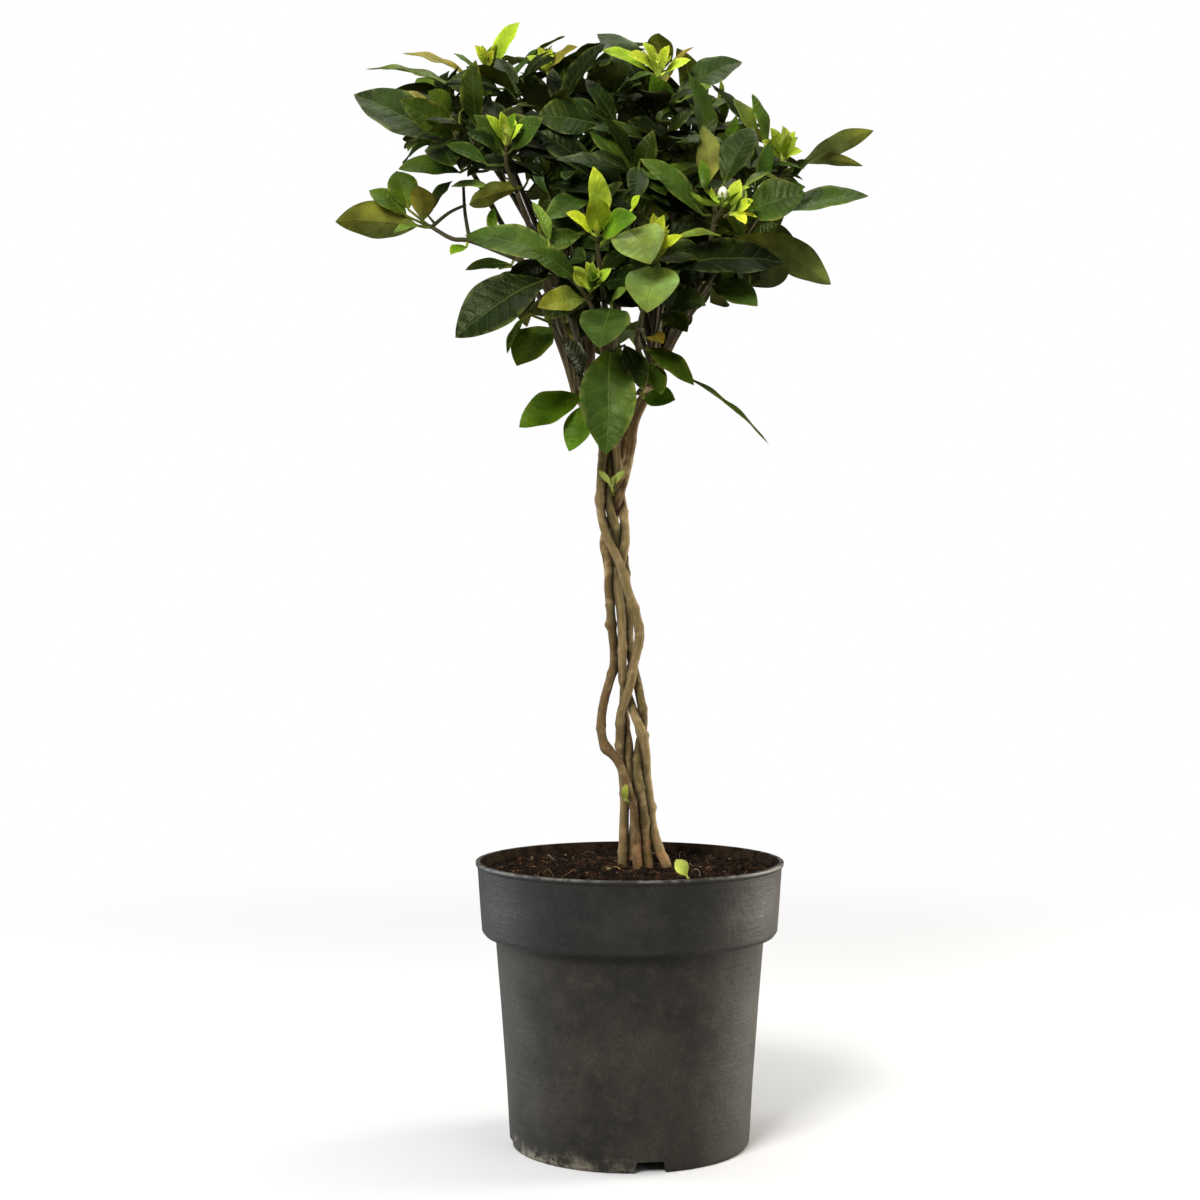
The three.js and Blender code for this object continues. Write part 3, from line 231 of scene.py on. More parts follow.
FRONT_SHOOTS: dict[str, Shoot] = {
    "shoot_under_centre": Shoot(
        stem="stem_4",
        axis=((-10, 480, -62), (-12, 500, -80), (-12, 514, -88)),
        leaves=(
            Leaf((-11, 493), (-14.5, 425), -22, 33, 85, Tone.MID),
            Leaf((-11.5, 516), (-18.5, 491), -34, 29, 80, Tone.MID),
            Leaf((-3, 493), (8, 465), -15, 15, 70, Tone.DARK),
            Leaf((-11, 520), (-1, 528), -15, 7, 50, Tone.LIGHT),
        ),
    ),
    "shoot_front_centre": Shoot(
        stem="stem_4",
        axis=((-16, 522, -86), (-19, 545, -101), (-20, 556, -104)),
        leaves=(
            Leaf((-1, 564), (13, 543), -34, 30, 80, Tone.SHEEN, arch=0.16),
            Leaf((1.5, 577), (6.5, 586), -5, 6, 50, Tone.LIME),
        ),
    ),
    "shoot_front_right": Shoot(
        stem="stem_3",
        axis=((6, 505, -80), (13, 535, -98), (14, 545, -102)),
        leaves=(
            Leaf((17.5, 542), (11, 513), -32, 30, 82, Tone.SHEEN),
            Leaf((14, 545), (47.5, 551), -14, 18, 60, Tone.DARK),
            Leaf((20, 540), (96.5, 544), 16, 27, 58, Tone.DEEP),
            Leaf((27, 558), (57.5, 560.5), 4, 12, 28, Tone.LIGHT),
        ),
    ),
    "shoot_front_left": Shoot(
        stem="stem_4",
        axis=((-18, 496, -74), (-24, 518, -88), (-36, 534, -92), (-50, 538, -90)),
        leaves=(
            Leaf((-52, 533.5), (-108, 497.5), -10, 34, 65, Tone.DEEP),
            Leaf((-38, 542), (-102, 561), 12, 25, 55, Tone.MID),
            Leaf((-32.5, 533), (-62, 552), -12, 16, 60, Tone.MID),
            Leaf((-27.5, 521), (-57, 516.5), -24, 17, 65, Tone.OLIVE, wave=0.8),
            Leaf((-50, 556), (-60.5, 582), 4, 11, 40, Tone.LIGHT),
        ),
    ),
    "shoot_right_front": Shoot(
        stem="stem_3",
        axis=((44, 535, -78), (52, 566, -90), (53, 590, -92)),
        offshoots=(
            ((52, 568, -90), (57, 577, -99), (58, 581, -101)),
        ),
        leaves=(
            Leaf((58.5, 593), (77, 628), 4, 21, 65, Tone.DARK),
            Leaf((45.5, 573.5), (6.5, 608.5), -8, 16, 60, Tone.MID),
            Leaf((47, 591), (45, 629.5), 16, 18, -50, Tone.OLIVE),
            Leaf((71.5, 573), (109, 587.5), -12, 27, 68, Tone.MID),
            Leaf((47, 589), (43.5, 608), -12, 9, 60, Tone.BRIGHT),
            Leaf((71, 590), (88, 600.5), 12, 8, 40, Tone.LIGHT),
        ),
    ),
    "shoot_under_right": Shoot(
        stem="stem_3",
        axis=((12, 482, -50), (18, 505, -66), (20, 518, -70)),
        leaves=(
            Leaf((22, 519), (47.5, 517.5), -24, 17, 65, Tone.DARK, wave=0.8),
            Leaf((19.5, 513), (36, 501), -20, 14, 70, Tone.DARK),
            Leaf((10, 491), (40, 468), -20, 14, 65, Tone.MID, wave=0.8),
            Leaf((24, 480), (86.5, 431.5), -14, 9, 20, Tone.MID, arch=0.05),
            Leaf((12, 497), (21, 494), -30, 11, 60, Tone.OCHRE),
        ),
    ),
    "shoot_low_right": Shoot(
        stem="stem_3",
        axis=((42, 522, -60), (58, 546, -70), (65, 560, -74)),
        leaves=(
            Leaf((65.5, 561), (125, 530.5), -6, 24, -50, Tone.MID, arch=0.11),
            Leaf((51, 530), (79.5, 517), -22, 20, 60, Tone.MID),
        ),
    ),
    "shoot_under_left": Shoot(
        stem="stem_1",
        axis=((-36, 484, -42), (-44, 500, -56), (-47, 508, -61)),
        leaves=(
            Leaf((-49, 504), (-70, 480), -20, 25, 65, Tone.LIGHT, wave=0.8),
            Leaf((-62, 512), (-76, 487.5), -16, 8, 40, Tone.MID),
        ),
    ),
    "shoot_braid_left": Shoot(
        stem="stem_1",
        axis=((-25, 462, -24), (-30, 468, -34), (-31, 474, -40)),
        leaves=(
            Leaf((-29, 461), (-68.5, 442), -12, 24, 60, Tone.BRIGHT),
            Leaf((-24.5, 457.5), (-37.5, 427), -12, 18, 70, Tone.BRIGHT, arch=0.04),
            Leaf((-29, 474), (-42, 498), -14, 14, 60, Tone.DARK),
        ),
    ),
    "shoot_braid_right": Shoot(
        stem="stem_3",
        axis=((6, 464, -34), (9, 468, -42), (11, 475, -47)),
        leaves=(
            Leaf((11.5, 482), (20, 462), -20, 13, 70, Tone.MID),
            Leaf((9, 460), (28.5, 459), -16, 15, 65, Tone.BRIGHT),
        ),
    ),
    "shoot_upper_left": Shoot(
        stem="stem_1",
        axis=((-70, 588, -50), (-76, 604, -60), (-76.5, 613, -64)),
        leaves=(
            Leaf((-73, 614), (-53.5, 634), -14, 16, 65, Tone.MID),
            Leaf((-78, 612), (-97, 636), -16, 13, 55, Tone.MID),
            Leaf((-80, 612), (-101, 624.5), -22, 12, 55, Tone.DARK),
            Leaf((-88, 604.5), (-114, 617.5), -12, 12, 55, Tone.MID),
            Leaf((-67, 591), (-99.5, 580), -12, 14, -50, Tone.OLIVE),
            Leaf((-85, 590.5), (-111, 591), 0, 9, 40, Tone.LIGHT),
        ),
    ),
    "shoot_left": Shoot(
        stem="stem_1",
        axis=((-96, 598, -29), (-104, 612, -38), (-107, 624, -42)),
        leaves=(
            Leaf((-113, 619.5), (-171, 648.5), 2, 33, 60, Tone.DARK, arch=0.03),
            Leaf((-109, 619.5), (-142.5, 645), -26, 21, 65, Tone.MID),
            Leaf((-117.5, 618), (-109.5, 603.5), -34, 24, 80, Tone.DARK),
            Leaf((-111, 635), (-125, 650.5), -12, 16, 60, Tone.MID),
            Leaf((-122, 638), (-138, 650.5), -4, 8, 40, Tone.OCHRE),
            Leaf((-105, 600), (-143.5, 602), -22, 17, 55, Tone.MID),
            Leaf((-105, 637), (-85, 649.5), -16, 9, 40, Tone.MID),
        ),
    ),
    "shoot_right": Shoot(
        stem="stem_5",
        axis=((72, 562, -20), (88, 586, -29), (94, 603, -33)),
        offshoots=(
            ((86, 583, -28), (80, 606, -24), (79, 626, -22)),
        ),
        leaves=(
            Leaf((98, 600), (151.5, 626), 2, 16, 0, Tone.MID, arch=0.02, twist=78),
            Leaf((88, 576), (148.5, 585.5), 4, 21, 48, Tone.MID, arch=0.04),
            Leaf((104, 605), (145, 604), 6, 9, -42, Tone.OLIVE, arch=0.14),
            Leaf((101, 597), (112, 607), -16, 10, 45, Tone.DARK),
            Leaf((84, 615), (76, 649), 6, 10, 60, Tone.MID),
            Leaf((80, 617), (64, 646), 0, 12, 55, Tone.OLIVE),
            Leaf((75, 620), (50.5, 655), 10, 9, 50, Tone.DARK),
        ),
    ),
    "shoot_top": Shoot(
        stem="stem_5",
        axis=((17, 626, -4), (20, 643, -9), (19, 655, -11)),
        leaves=(
            Leaf((22, 631), (13, 660), -32, 19, 75, Tone.BRIGHT),
            Leaf((28, 646), (70, 668.5), 0, 23, 60, Tone.DARK),
            Leaf((9.5, 646), (9.5, 613), 34, 28, -80, Tone.DARK),
            Leaf((10, 649), (-20, 686), 14, 23, 60, Tone.DARK, arch=0.12),
            Leaf((18, 661), (18, 686.5), -24, 17, -70, Tone.OLIVE),
            Leaf((26, 662), (40, 678), 6, 9, 30, Tone.OCHRE),
            Leaf((32, 644), (51, 653), -20, 10, 50, Tone.LIGHT),
            Leaf((33, 634), (69.5, 644), -10, 10, 40, Tone.LIGHT),
        ),
    ),
    "shoot_low_left": Shoot(
        stem="stem_1",
        axis=((-71, 547, -26), (-98, 557.5, -20), (-110, 559, -18), (-124, 567, -15)),
        offshoots=(
            ((-99, 557.5, -20), (-102, 575, -18), (-103, 592, -14)),
            ((-123, 566, -15), (-112, 575, -22), (-101.5, 580, -26)),
        ),
        leaves=(
            Leaf((-131, 567), (-182.5, 569.5), 0, 24, -60, Tone.OLIVE),
            Leaf((-137, 577), (-144.5, 601), 6, 19, 75, Tone.MID),
            Leaf((-128, 570), (-131, 592), -12, 17, -70, Tone.OLIVE),
            Leaf((-138, 573), (-161.5, 589), 2, 15, 60, Tone.MID),
            Leaf((-125, 573.5), (-109.5, 595), 12, 11, 50, Tone.DARK),
            Leaf((-127, 566), (-146, 563), -20, 9, 40, Tone.LIGHT),
            Leaf((-84, 560), (-84, 578.5), -6, 8, 60, Tone.BRIGHT),
            Leaf((-101, 554), (-111, 549), -16, 9, 60, Tone.BRIGHT),
            Leaf((-73, 543), (-102, 539.5), -12, 9, 60, Tone.DARK),
        ),
    ),
    "shoot_top_left": Shoot(
        stem="stem_2",
        axis=((-45, 628, 6), (-51, 643, 9), (-50, 655, 8)),
        leaves=(
            Leaf((-50.5, 660), (-32, 678), -10, 11, 45, Tone.OCHRE),
            Leaf((-43, 643), (-42, 670), -22, 13, 60, Tone.MID),
            Leaf((-54, 646), (-68, 658.5), -22, 14, 60, Tone.DARK),
            Leaf((-54, 638), (-66, 642), -16, 9, 40, Tone.MID),
        ),
    ),
    "shoot_far_top_left": Shoot(
        stem="stem_2",
        axis=((-82, 630, 8), (-87, 646, 9), (-87, 657, 9)),
        leaves=(
            Leaf((-80, 648), (-114.5, 655), -16, 18, 70, Tone.DARK, arch=0.2),
            Leaf((-77, 652), (-39.5, 684.5), -6, 15, 40, Tone.MID, twist=35),
            Leaf((-102, 648), (-164, 664), 6, 14, 28, Tone.OLIVE),
            Leaf((-98, 658), (-141, 674), -6, 9, 40, Tone.OCHRE),
            Leaf((-95, 662), (-109.5, 674), 4, 6, 40, Tone.MID),
        ),
    ),
    "shoot_inner": Shoot(
        stem="stem_4",
        axis=((-10, 588, -34), (-13, 606, -44), (-15, 620, -50)),
        leaves=(
            Leaf((-20, 630), (-58, 634), -8, 26, 70, Tone.DARK),
            Leaf((-7, 618), (22, 622), 6, 20, 60, Tone.DARK),
        ),
    ),
}
YOUNG_TUFTS: dict[str, Shoot] = {
    "young_front_centre": Shoot(
        axis=((-20, 556, -104), (-20, 562, -106)),
        leaves=(
            Leaf((-18.5, 565), (-22.5, 604), -14, 14, 65, Tone.YOUNG),
            Leaf((-19.5, 562), (-23, 588), -28, 15, 72, Tone.LIME),
            Leaf((-17.5, 561), (4.5, 572), -24, 17, 65, Tone.BRIGHT),
            Leaf((-22, 561), (-39.5, 575), -16, 11, 45, Tone.YOUNG),
        ),
    ),
    "young_top": Shoot(
        axis=((19, 655, -11), (18.5, 661, -12)),
        leaves=(
            Leaf((14, 660), (-17.5, 675.5), -24, 14, 45, Tone.LIME),
            Leaf((15, 663), (-1, 673), -20, 12, 50, Tone.YOUNG),
            Leaf((18, 664), (8, 681), -8, 8, 60, Tone.YOUNG),
            Leaf((20, 664), (25, 679), -16, 8, 60, Tone.YOUNG),
            Leaf((22, 662), (38, 670), -10, 8, 60, Tone.YOUNG),
        ),
    ),
    "young_top_left": Shoot(
        axis=((-50, 655, 8), (-50, 661, 7)),
        leaves=(
            Leaf((-51, 663), (-64, 672), -8, 8, 55, Tone.YOUNG),
            Leaf((-51, 664), (-57, 678), -10, 8, 60, Tone.YOUNG),
            Leaf((-49, 664), (-48, 677), -14, 8, 60, Tone.YOUNG),
        ),
    ),
    "young_far_top_left": Shoot(
        axis=((-87, 657, 9), (-87, 663, 8.5)),
        leaves=(
            Leaf((-85, 665), (-68, 693.4), 0, 13, 60, Tone.LIME),
            Leaf((-88, 665), (-96, 679), -10, 8, 60, Tone.YOUNG),
            Leaf((-87, 666), (-84, 676), -14, 7, 60, Tone.YOUNG),
        ),
    ),
    "young_upper_left": Shoot(
        axis=((-76.5, 613, -64), (-76.5, 618, -66)),
        leaves=(
            Leaf((-78, 619), (-89, 636), -8, 8, 50, Tone.LIME),
            Leaf((-77, 620), (-80, 638), -6, 8, 55, Tone.LIME),
            Leaf((-75, 620), (-71, 637), -8, 8, 55, Tone.BRIGHT),
            Leaf((-74, 619), (-66, 630), -10, 7, 50, Tone.YOUNG),
        ),
    ),
    "young_front_left": Shoot(
        axis=((-25.2, 522.3, -90.5), (-24, 527, -96)),
        leaves=(
            Leaf((-25, 528), (-35, 542), -8, 8, 60, Tone.YOUNG),
            Leaf((-24, 529), (-27, 545), -8, 8, 60, Tone.YOUNG),
            Leaf((-23, 528), (-19, 541), -10, 8, 60, Tone.YOUNG),
        ),
    ),
    "young_front_right": Shoot(
        axis=((14, 545, -102), (15.5, 551, -104)),
        leaves=(
            Leaf((15, 553), (14.5, 575), -10, 9, 60, Tone.YOUNG),
            Leaf((16.5, 553), (21.5, 574), -14, 9, 60, Tone.YOUNG),
            Leaf((17.5, 552), (29, 569), -12, 9, 60, Tone.YOUNG),
            Leaf((18, 551), (33, 561), -16, 8, 55, Tone.YOUNG),
        ),
    ),
    "young_right_front": Shoot(
        axis=((58, 572, -97), (63, 575, -99)),
        leaves=(
            Leaf((64.5, 577), (68.5, 596), -4, 10, 60, Tone.YOUNG),
            Leaf((66, 575), (77, 583), -12, 8, 60, Tone.YOUNG),
            Leaf((64, 574), (72, 568), -16, 7, 60, Tone.YOUNG),
        ),
    ),
    "young_right": Shoot(
        axis=((94, 603, -33), (95, 608, -34)),
        leaves=(
            Leaf((93, 609), (82, 620), -14, 9, 60, Tone.YOUNG),
            Leaf((94, 610), (87, 628), -10, 9, 60, Tone.YOUNG),
            Leaf((95.5, 610), (95, 629), -16, 9, 60, Tone.YOUNG),
            Leaf((97, 609), (103, 622), -10, 9, 60, Tone.YOUNG),
            Leaf((97, 608), (107, 613), -18, 8, 50, Tone.YOUNG),
        ),
    ),
}
STEMS: dict[str, Stem] = {
    "stem_1": Stem(
        course=(
            (428, -16.4, -4), (409, -17.7, -5), (390, -17.7, -5), (376, -14.6, -5), (365, -9.6, -6),
            (356, -5.3, -6.5), (344, -2.2, -6.5), (328, 3.4, -5.5), (310, 6.5, -5), (300, 3.4, -5.5),
            (289, 1.5, -6), (279, -0.3, -6), (269, -4.7, -5), (252, -5.9, -3), (245, -5.5, 1),
            (230, -4.4, 4), (211, -3, 4), (195, -3.4, 3), (169, -3.6, 3),
        ),
        crotch=(-33, 462, -8),
    ),
    "stem_2": Stem(
        course=(
            (428, -12.7, 1), (409, -13, -1), (395, -12.5, -3), (386, -10.5, -4), (376, -7.4, -3),
            (371, -5.8, 0.5), (364, -4, 3.5), (350, -2.5, 5), (339, -2.2, 4), (325, -0.5, 1.5),
            (312, -0.3, 0.5), (300, 0.8, 1.5), (285, 4.6, 2), (275, 6.5, 0.5), (264, 8.4, 0.5),
            (253, 8, 1.5), (245, 6.2, 1.5), (236, 4.6, -1), (225, 5.4, -3.5), (214, 7.4, -4),
            (204, 9, -4), (190, 10.2, -3), (169, 11.5, -2),
        ),
        crotch=(-24, 468, 14),
    ),
    "stem_3": Stem(
        course=(
            (428, 0.6, -4), (416, -1.6, -5), (404, -5, -4.5), (394, -8, -3), (386, -11.5, 1.5),
            (371, -15.8, 2.5), (363, -14.6, 1), (356, -13, -0.5), (342, -12.8, -1), (328, -11.5, -2),
            (320, -11.2, -2), (309, -10, -1), (298, -9.4, 0.5), (288, -11, -1), (282, -13.3, -2),
            (269, -16.4, -2), (258, -17.7, -3), (249, -16.4, -4), (243, -14, -5), (238, -9, -6),
            (232, -5.3, -7), (223, -2.2, -7), (207, 2.8, -6), (195, 4, -5), (180, 4.6, -5),
            (169, 5.3, -5),
        ),
        crotch=(13, 466, -14),
    ),
    "stem_4": Stem(
        course=(
            (428, -8.4, -3), (409, -7.1, 0.5), (397, -5, 2.5), (382, -3, -1.5), (371, -3, -3),
            (364, -3.4, -2), (356, -6.3, -0.5), (344, -7.8, -1.5), (332, -6, -3), (323, -5, -4),
            (309, -4.6, -4), (298, -4.4, -3.5), (288, -4.4, -1.5), (279, -2, 0.5), (270, 1, 0.5),
            (259, 5, -3.5), (252, 7.7, -4.5), (245, 9.4, -4), (228, 10.4, 0), (214, 12.1, -1),
            (195, 13.3, -1), (184, 17, -2), (169, 23.2, -3),
        ),
        crotch=(-12, 456, -22),
    ),
    "stem_5": Stem(
        course=(
            (428, -4, 5), (409, -8.6, 6), (385, -9.5, 7.5), (371, -9.5, 8), (356, -8.5, 6),
            (345, -6, 7), (335, -0.5, 9), (325, 4, 7.5), (310, 6, 6), (298, 3, 7.5), (285, -2.2, 7),
            (270, -3.5, 5.5), (254, -2.2, 3), (238, 0.3, 1.5), (223, 2.2, 0.5), (212, 2.8, 1.5),
            (201, 3.2, 2), (185, 2.5, 3), (169, 2, 4),
        ),
        crotch=(16, 470, 14),
    ),
}


@dataclass(frozen=True)
class Whorl:
    """Leaves that start at one place on a back shoot: how far out, how spread, and their sizes."""

    along: float
    spread: float
    length: Flat
    width: Flat
    count: int


BACK_SHOOTS: dict[str, tuple[str, Spot]] = {
    "shoot_mid_centre": ("stem_4", (2, -30, 556)),
    "shoot_mid_right": ("stem_3", (40, -34, 586)),
    "shoot_mid_left": ("stem_1", (-42, -20, 566)),
    "shoot_mid_upper": ("stem_5", (6, 14, 604)),
    "shoot_mid_upper_right": ("stem_5", (44, 16, 606)),
    "shoot_mid_upper_left": ("stem_2", (-34, 8, 612)),
    "shoot_back_top_right": ("stem_5", (44, 60, 630)),
    "shoot_back_right": ("stem_5", (76, 52, 584)),
    "shoot_back_low_right": ("stem_5", (54, 58, 544)),
    "shoot_back_far_right": ("stem_5", (60, 104, 566)),
    "shoot_back_low": ("stem_5", (14, 84, 512)),
    "shoot_back_centre": ("stem_5", (22, 110, 590)),
    "shoot_back_top_left": ("stem_2", (-22, 62, 634)),
    "shoot_back_left": ("stem_2", (-72, 70, 606)),
    "shoot_back_far_left": ("stem_2", (-100, 44, 630)),
    "shoot_back_low_left": ("stem_2", (-52, 56, 540)),
    "shoot_back_left_centre": ("stem_2", (-40, 104, 540)),
}
BACK_SEED = 11
CROWN_MIDDLE = Vector((-12, 15, 515))
CROWN_OUTLINE: tuple[Flat, ...] = (
    (-160, 646), (-120, 664), (-78, 680), (-38, 678), (-18, 683), (22, 685), (50, 672), (66, 662),
    (62, 646), (78, 634), (104, 614), (114, 592), (92, 562), (112, 546), (96, 536), (70, 519),
    (38, 510), (26, 480), (12, 466), (-24, 466), (-46, 500), (-84, 506), (-100, 530), (-60, 552),
    (-56, 598), (-102, 596), (-144, 604), (-142, 622),
)
INNER_HEARTS: tuple[Spot, ...] = (
    (-43, 651, 14), (-28, 626, -12), (-68, 622, -6), (-53, 597, -34), (-6, 622, -34),
    (15, 634, -24), (38, 614, -30), (54, 626, -2), (-18, 590, -50), (6, 590, -54), (31, 587, -50),
    (-26, 562, -62), (0, 553, -62), (25, 558, -60), (50, 557, -52), (-43, 545, -56), (-18, 531, -60),
    (13, 531, -52), (-52, 664, 18), (-68, 648, -18), (-43, 634, -30), (-93, 620, -46), (-18, 664, 2),
    (-12, 645, -18), (6, 604, -62), (-34, 608, -48), (20, 616, -48), (-99, 634, -6),
    (-118, 624, -18), (-82, 608, -34), (75, 600, -30), (76, 584, -44), (66, 549, -46),
    (-60, 575, 60), (-20, 585, 78), (20, 590, 72), (50, 580, 60), (-40, 612, 62), (0, 616, 72),
    (35, 620, 56), (-72, 612, 42), (-5, 560, 62), (30, 558, 56), (-35, 555, 60), (0, 640, 50),
    (60, 600, 30), (-20, 600, 30), (25, 600, 20), (-45, 585, 20), (34, 536, -44), (-4, 640, 6),
    (-112, 640, 8), (52, 590, -44),
)
WHORLS = (
    Whorl(-5, 78, (54, 69), (24, 30), 3),
    Whorl(6, 48, (44, 58), (19, 26), 3),
    Whorl(11, 18, (26, 36), (10, 13), 1),
)
SHOOT_REACH = (-14, 0, 12)
RULED_TONES = (Tone.DARK, Tone.MID, Tone.DARK, Tone.MID, Tone.OLIVE)
TURN_JITTER = 24
SPREAD_JITTER = 16


class Draws:
    """Seeded draws from 0 to 1, the same as the solids' own."""

    def __init__(self, seed: int) -> None:
        """Starts the draws at a seed."""
        self.state = seed

    def __call__(self) -> float:
        """The next draw."""
        self.state = (self.state + 0x6D2B79F5) & 0xFFFFFFFF
        word = ((self.state ^ (self.state >> 15)) * (self.state | 1)) & 0xFFFFFFFF
        word ^= (word + ((word ^ (word >> 7)) * (word | 61) & 0xFFFFFFFF)) & 0xFFFFFFFF
        return ((word ^ (word >> 14)) & 0xFFFFFFFF) / 4294967296


def leaning(axis: Vector, around: Vector, angle: float) -> Vector:
    """The direction at an angle from an axis towards another direction."""
    return axis * math.cos(angle) + around * math.sin(angle)


def square(direction: Vector, along: Vector) -> Vector:
    """A direction made square to another one."""
    return (direction - along * direction.dot(along)).normalized()


def level_at(angle: float) -> Vector:
    """A level direction."""
    return Vector((math.cos(angle), math.sin(angle), 0))


def facing(along: Vector, degrees: float) -> Vector:
    """The direction a blade's upper side faces.

    Args:
        along: the blade's heading.
        degrees: 0 where it faces up and is seen edge-on, 90 where it faces the eye.

    Returns:
        A direction square to the heading.
    """
    eye = square(TO_EYE, along)
    up = along.cross(eye)
    if along.x > 0:
        up.negate()
    return leaning(up, eye, math.radians(degrees))


def nearest_on(lines: Sequence[Sequence[Vector]], point: Vector) -> Vector:
    """The nearest place to a point on any of several polylines."""
    best = None
    for line in lines:
        for start, end in zip(line, line[1:]):
            step = end - start
            share = clamp((point - start).dot(step) / step.length_squared)
            spot = start + step * share
            if best is None or (spot - point).length < (best - point).length:
                best = spot
    return best


@dataclass(frozen=True)
class Placement:
    """Finds the pose that each leaf's solid took, among those that it might have taken."""

    depth_shifts: tuple[float, ...] = (0, -6, 6, -12, 12, -19, 19, -27, 27, -36, 36)
    base_shifts: tuple[float, ...] = (0, -5, 5, -10, 10)
    turn_shifts: tuple[float, ...] = (0, 16, -16, 32, -32, 46, -46)
    spread_shifts: tuple[float, ...] = (0, -16, 12, -30)
    least_petiole: float = 3
    ruled_petiole: float = 7
    ruled_droop: float = 0.12
    ruled_arch: float = 0.11
    # Painted shade: how dark the undersides of back leaves are made
    painted_underside_shade: float = 0.5
    on_solid: float = 4e-5
    least_marks: int = 3

    def seen_poses(
        self, leaf: Leaf, shoot: Shoot, axis: Sequence[Vector] | None = None
    ) -> list[Pose]:
        """The poses of a leaf that is placed by its looks.

        Args:
            leaf: the leaf as seen.
            shoot: the shoot that it grows on.
            axis: the shoot's axis in space, where it isn't the one that is seen.

        Returns:
            Its poses, which differ in depth alone.
        """
        axis = axis or EYE.line(shoot.axis)
        inner = [[*axis[:-1], axis[-1].lerp(axis[-2], 0.25)]]
        inner += [EYE.line(line) for line in shoot.offshoots]
        depth = nearest_on(inner, EYE.seen((*leaf.base, axis[0].y))).y
        poses = []
        for step, shift in product(self.base_shifts, self.depth_shifts):
            base = EYE.seen((*leaf.base, depth + step))
            tip = EYE.seen((*leaf.tip, depth + leaf.further + shift))
            root = nearest_on(inner, base)
            short = max(0.0, self.least_petiole - (root - base).length)
            base += (tip - base).normalized() * short
            upper = facing((tip - base).normalized(), leaf.face)
            poses.append(Pose(
                root, base, tip, upper, leaf.width, leaf.tone, leaf.arch, leaf.twist, leaf.wave
            ))
        return poses

    def ruled_poses(self, shoot: RuledShoot, leaf: RuledLeaf) -> list[Pose]:
        """The poses of a leaf that is placed by rule.

        Args:
            shoot: the back shoot that it grows on.
            leaf: the leaf as drawn.

        Returns:
            Its poses, which differ in turn and spread.
        """
        poses = []
        for tilt, turn in product(self.spread_shifts, self.turn_shifts):
            around = Quaternion(shoot.out, math.radians(leaf.turn + turn)) @ shoot.first
            along = leaning(shoot.out, around, math.radians(leaf.spread + tilt))
            along = (along - UP * self.ruled_droop).normalized()
            base = leaf.root + along * self.ruled_petiole
            poses.append(Pose(
                leaf.root, base, base + along * leaf.length, square(shoot.out, along), leaf.width,
                leaf.tone, self.ruled_arch, painted_underside_shade=self.painted_underside_shade,
            ))
        return poses

    def taken(self, poses: Sequence[Pose], solid: KDTree) -> Pose | None:
        """The pose whose margin lies on the solid.

        Args:
            poses: the leaf's possible poses.
            solid: the points of the node that holds the leaf.

        Returns:
            The pose, or None where the leaf was left out.
        """
        best, most = None, self.least_marks
        for pose in poses:
            blade = Blade(pose)
            marks = [pose.tip] + [
                blade.solid_point(i, x) for i in range(len(blade.rows())) for x in (-1, 1)
            ]
            found = sum(solid.find(mark * MM)[2] < self.on_solid for mark in marks)
            if found > most:
                best, most = pose, found
        return best


@dataclass(frozen=True)
class RuledLeaf:
    """A leaf of a back shoot, as drawn: its root, turn and spread about the shoot, and its size."""

    root: Vector
    turn: float
    spread: float
    length: float
    width: float
    tone: Tone


@dataclass
class RuledShoot:
    """A back shoot: its heart, the way it grows, its axis and its leaves."""

    heart: Spot
    seed: int
    out: Vector = field(init=False)
    first: Vector = field(init=False)
    axis: list[Vector] = field(init=False)
    leaves: list[RuledLeaf] = field(init=False)

    def __post_init__(self) -> None:
        """Works out the shoot's directions and draws its leaves."""
        middle = Vector(self.heart)
        draw = Draws(self.seed)
        self.out = (middle - CROWN_MIDDLE).normalized()
        self.axis = [middle + self.out * reach for reach in SHOOT_REACH]
        self.first = (UP - self.out * self.out.z).normalized()
        self.leaves = []
        for tier, whorl in enumerate(WHORLS):
            for i in range(whorl.count):
                turn = 360 / whorl.count * (i + tier / 2) + (draw() - 0.5) * TURN_JITTER
                spread = whorl.spread + (draw() - 0.5) * SPREAD_JITTER
                length = mix(*whorl.length, draw())
                width = mix(*whorl.width, draw())
                tone = RULED_TONES[(i + tier + self.seed) % len(RULED_TONES)]
                if tier == len(WHORLS) - 1:
                    tone = Tone.BRIGHT
                root = middle + self.out * whorl.along
                self.leaves.append(RuledLeaf(root, turn, spread, length, width, tone))


def grown_axes() -> list[tuple[str, list[Vector]]]:
    """The stem and the axis in space of every shoot of the front and the back."""
    axes = [(shoot.stem, EYE.line(shoot.axis)) for shoot in FRONT_SHOOTS.values()]
    for number, (stem, heart) in enumerate(BACK_SHOOTS.values()):
        axes.append((stem, RuledShoot(heart, BACK_SEED + number).axis))
    return axes


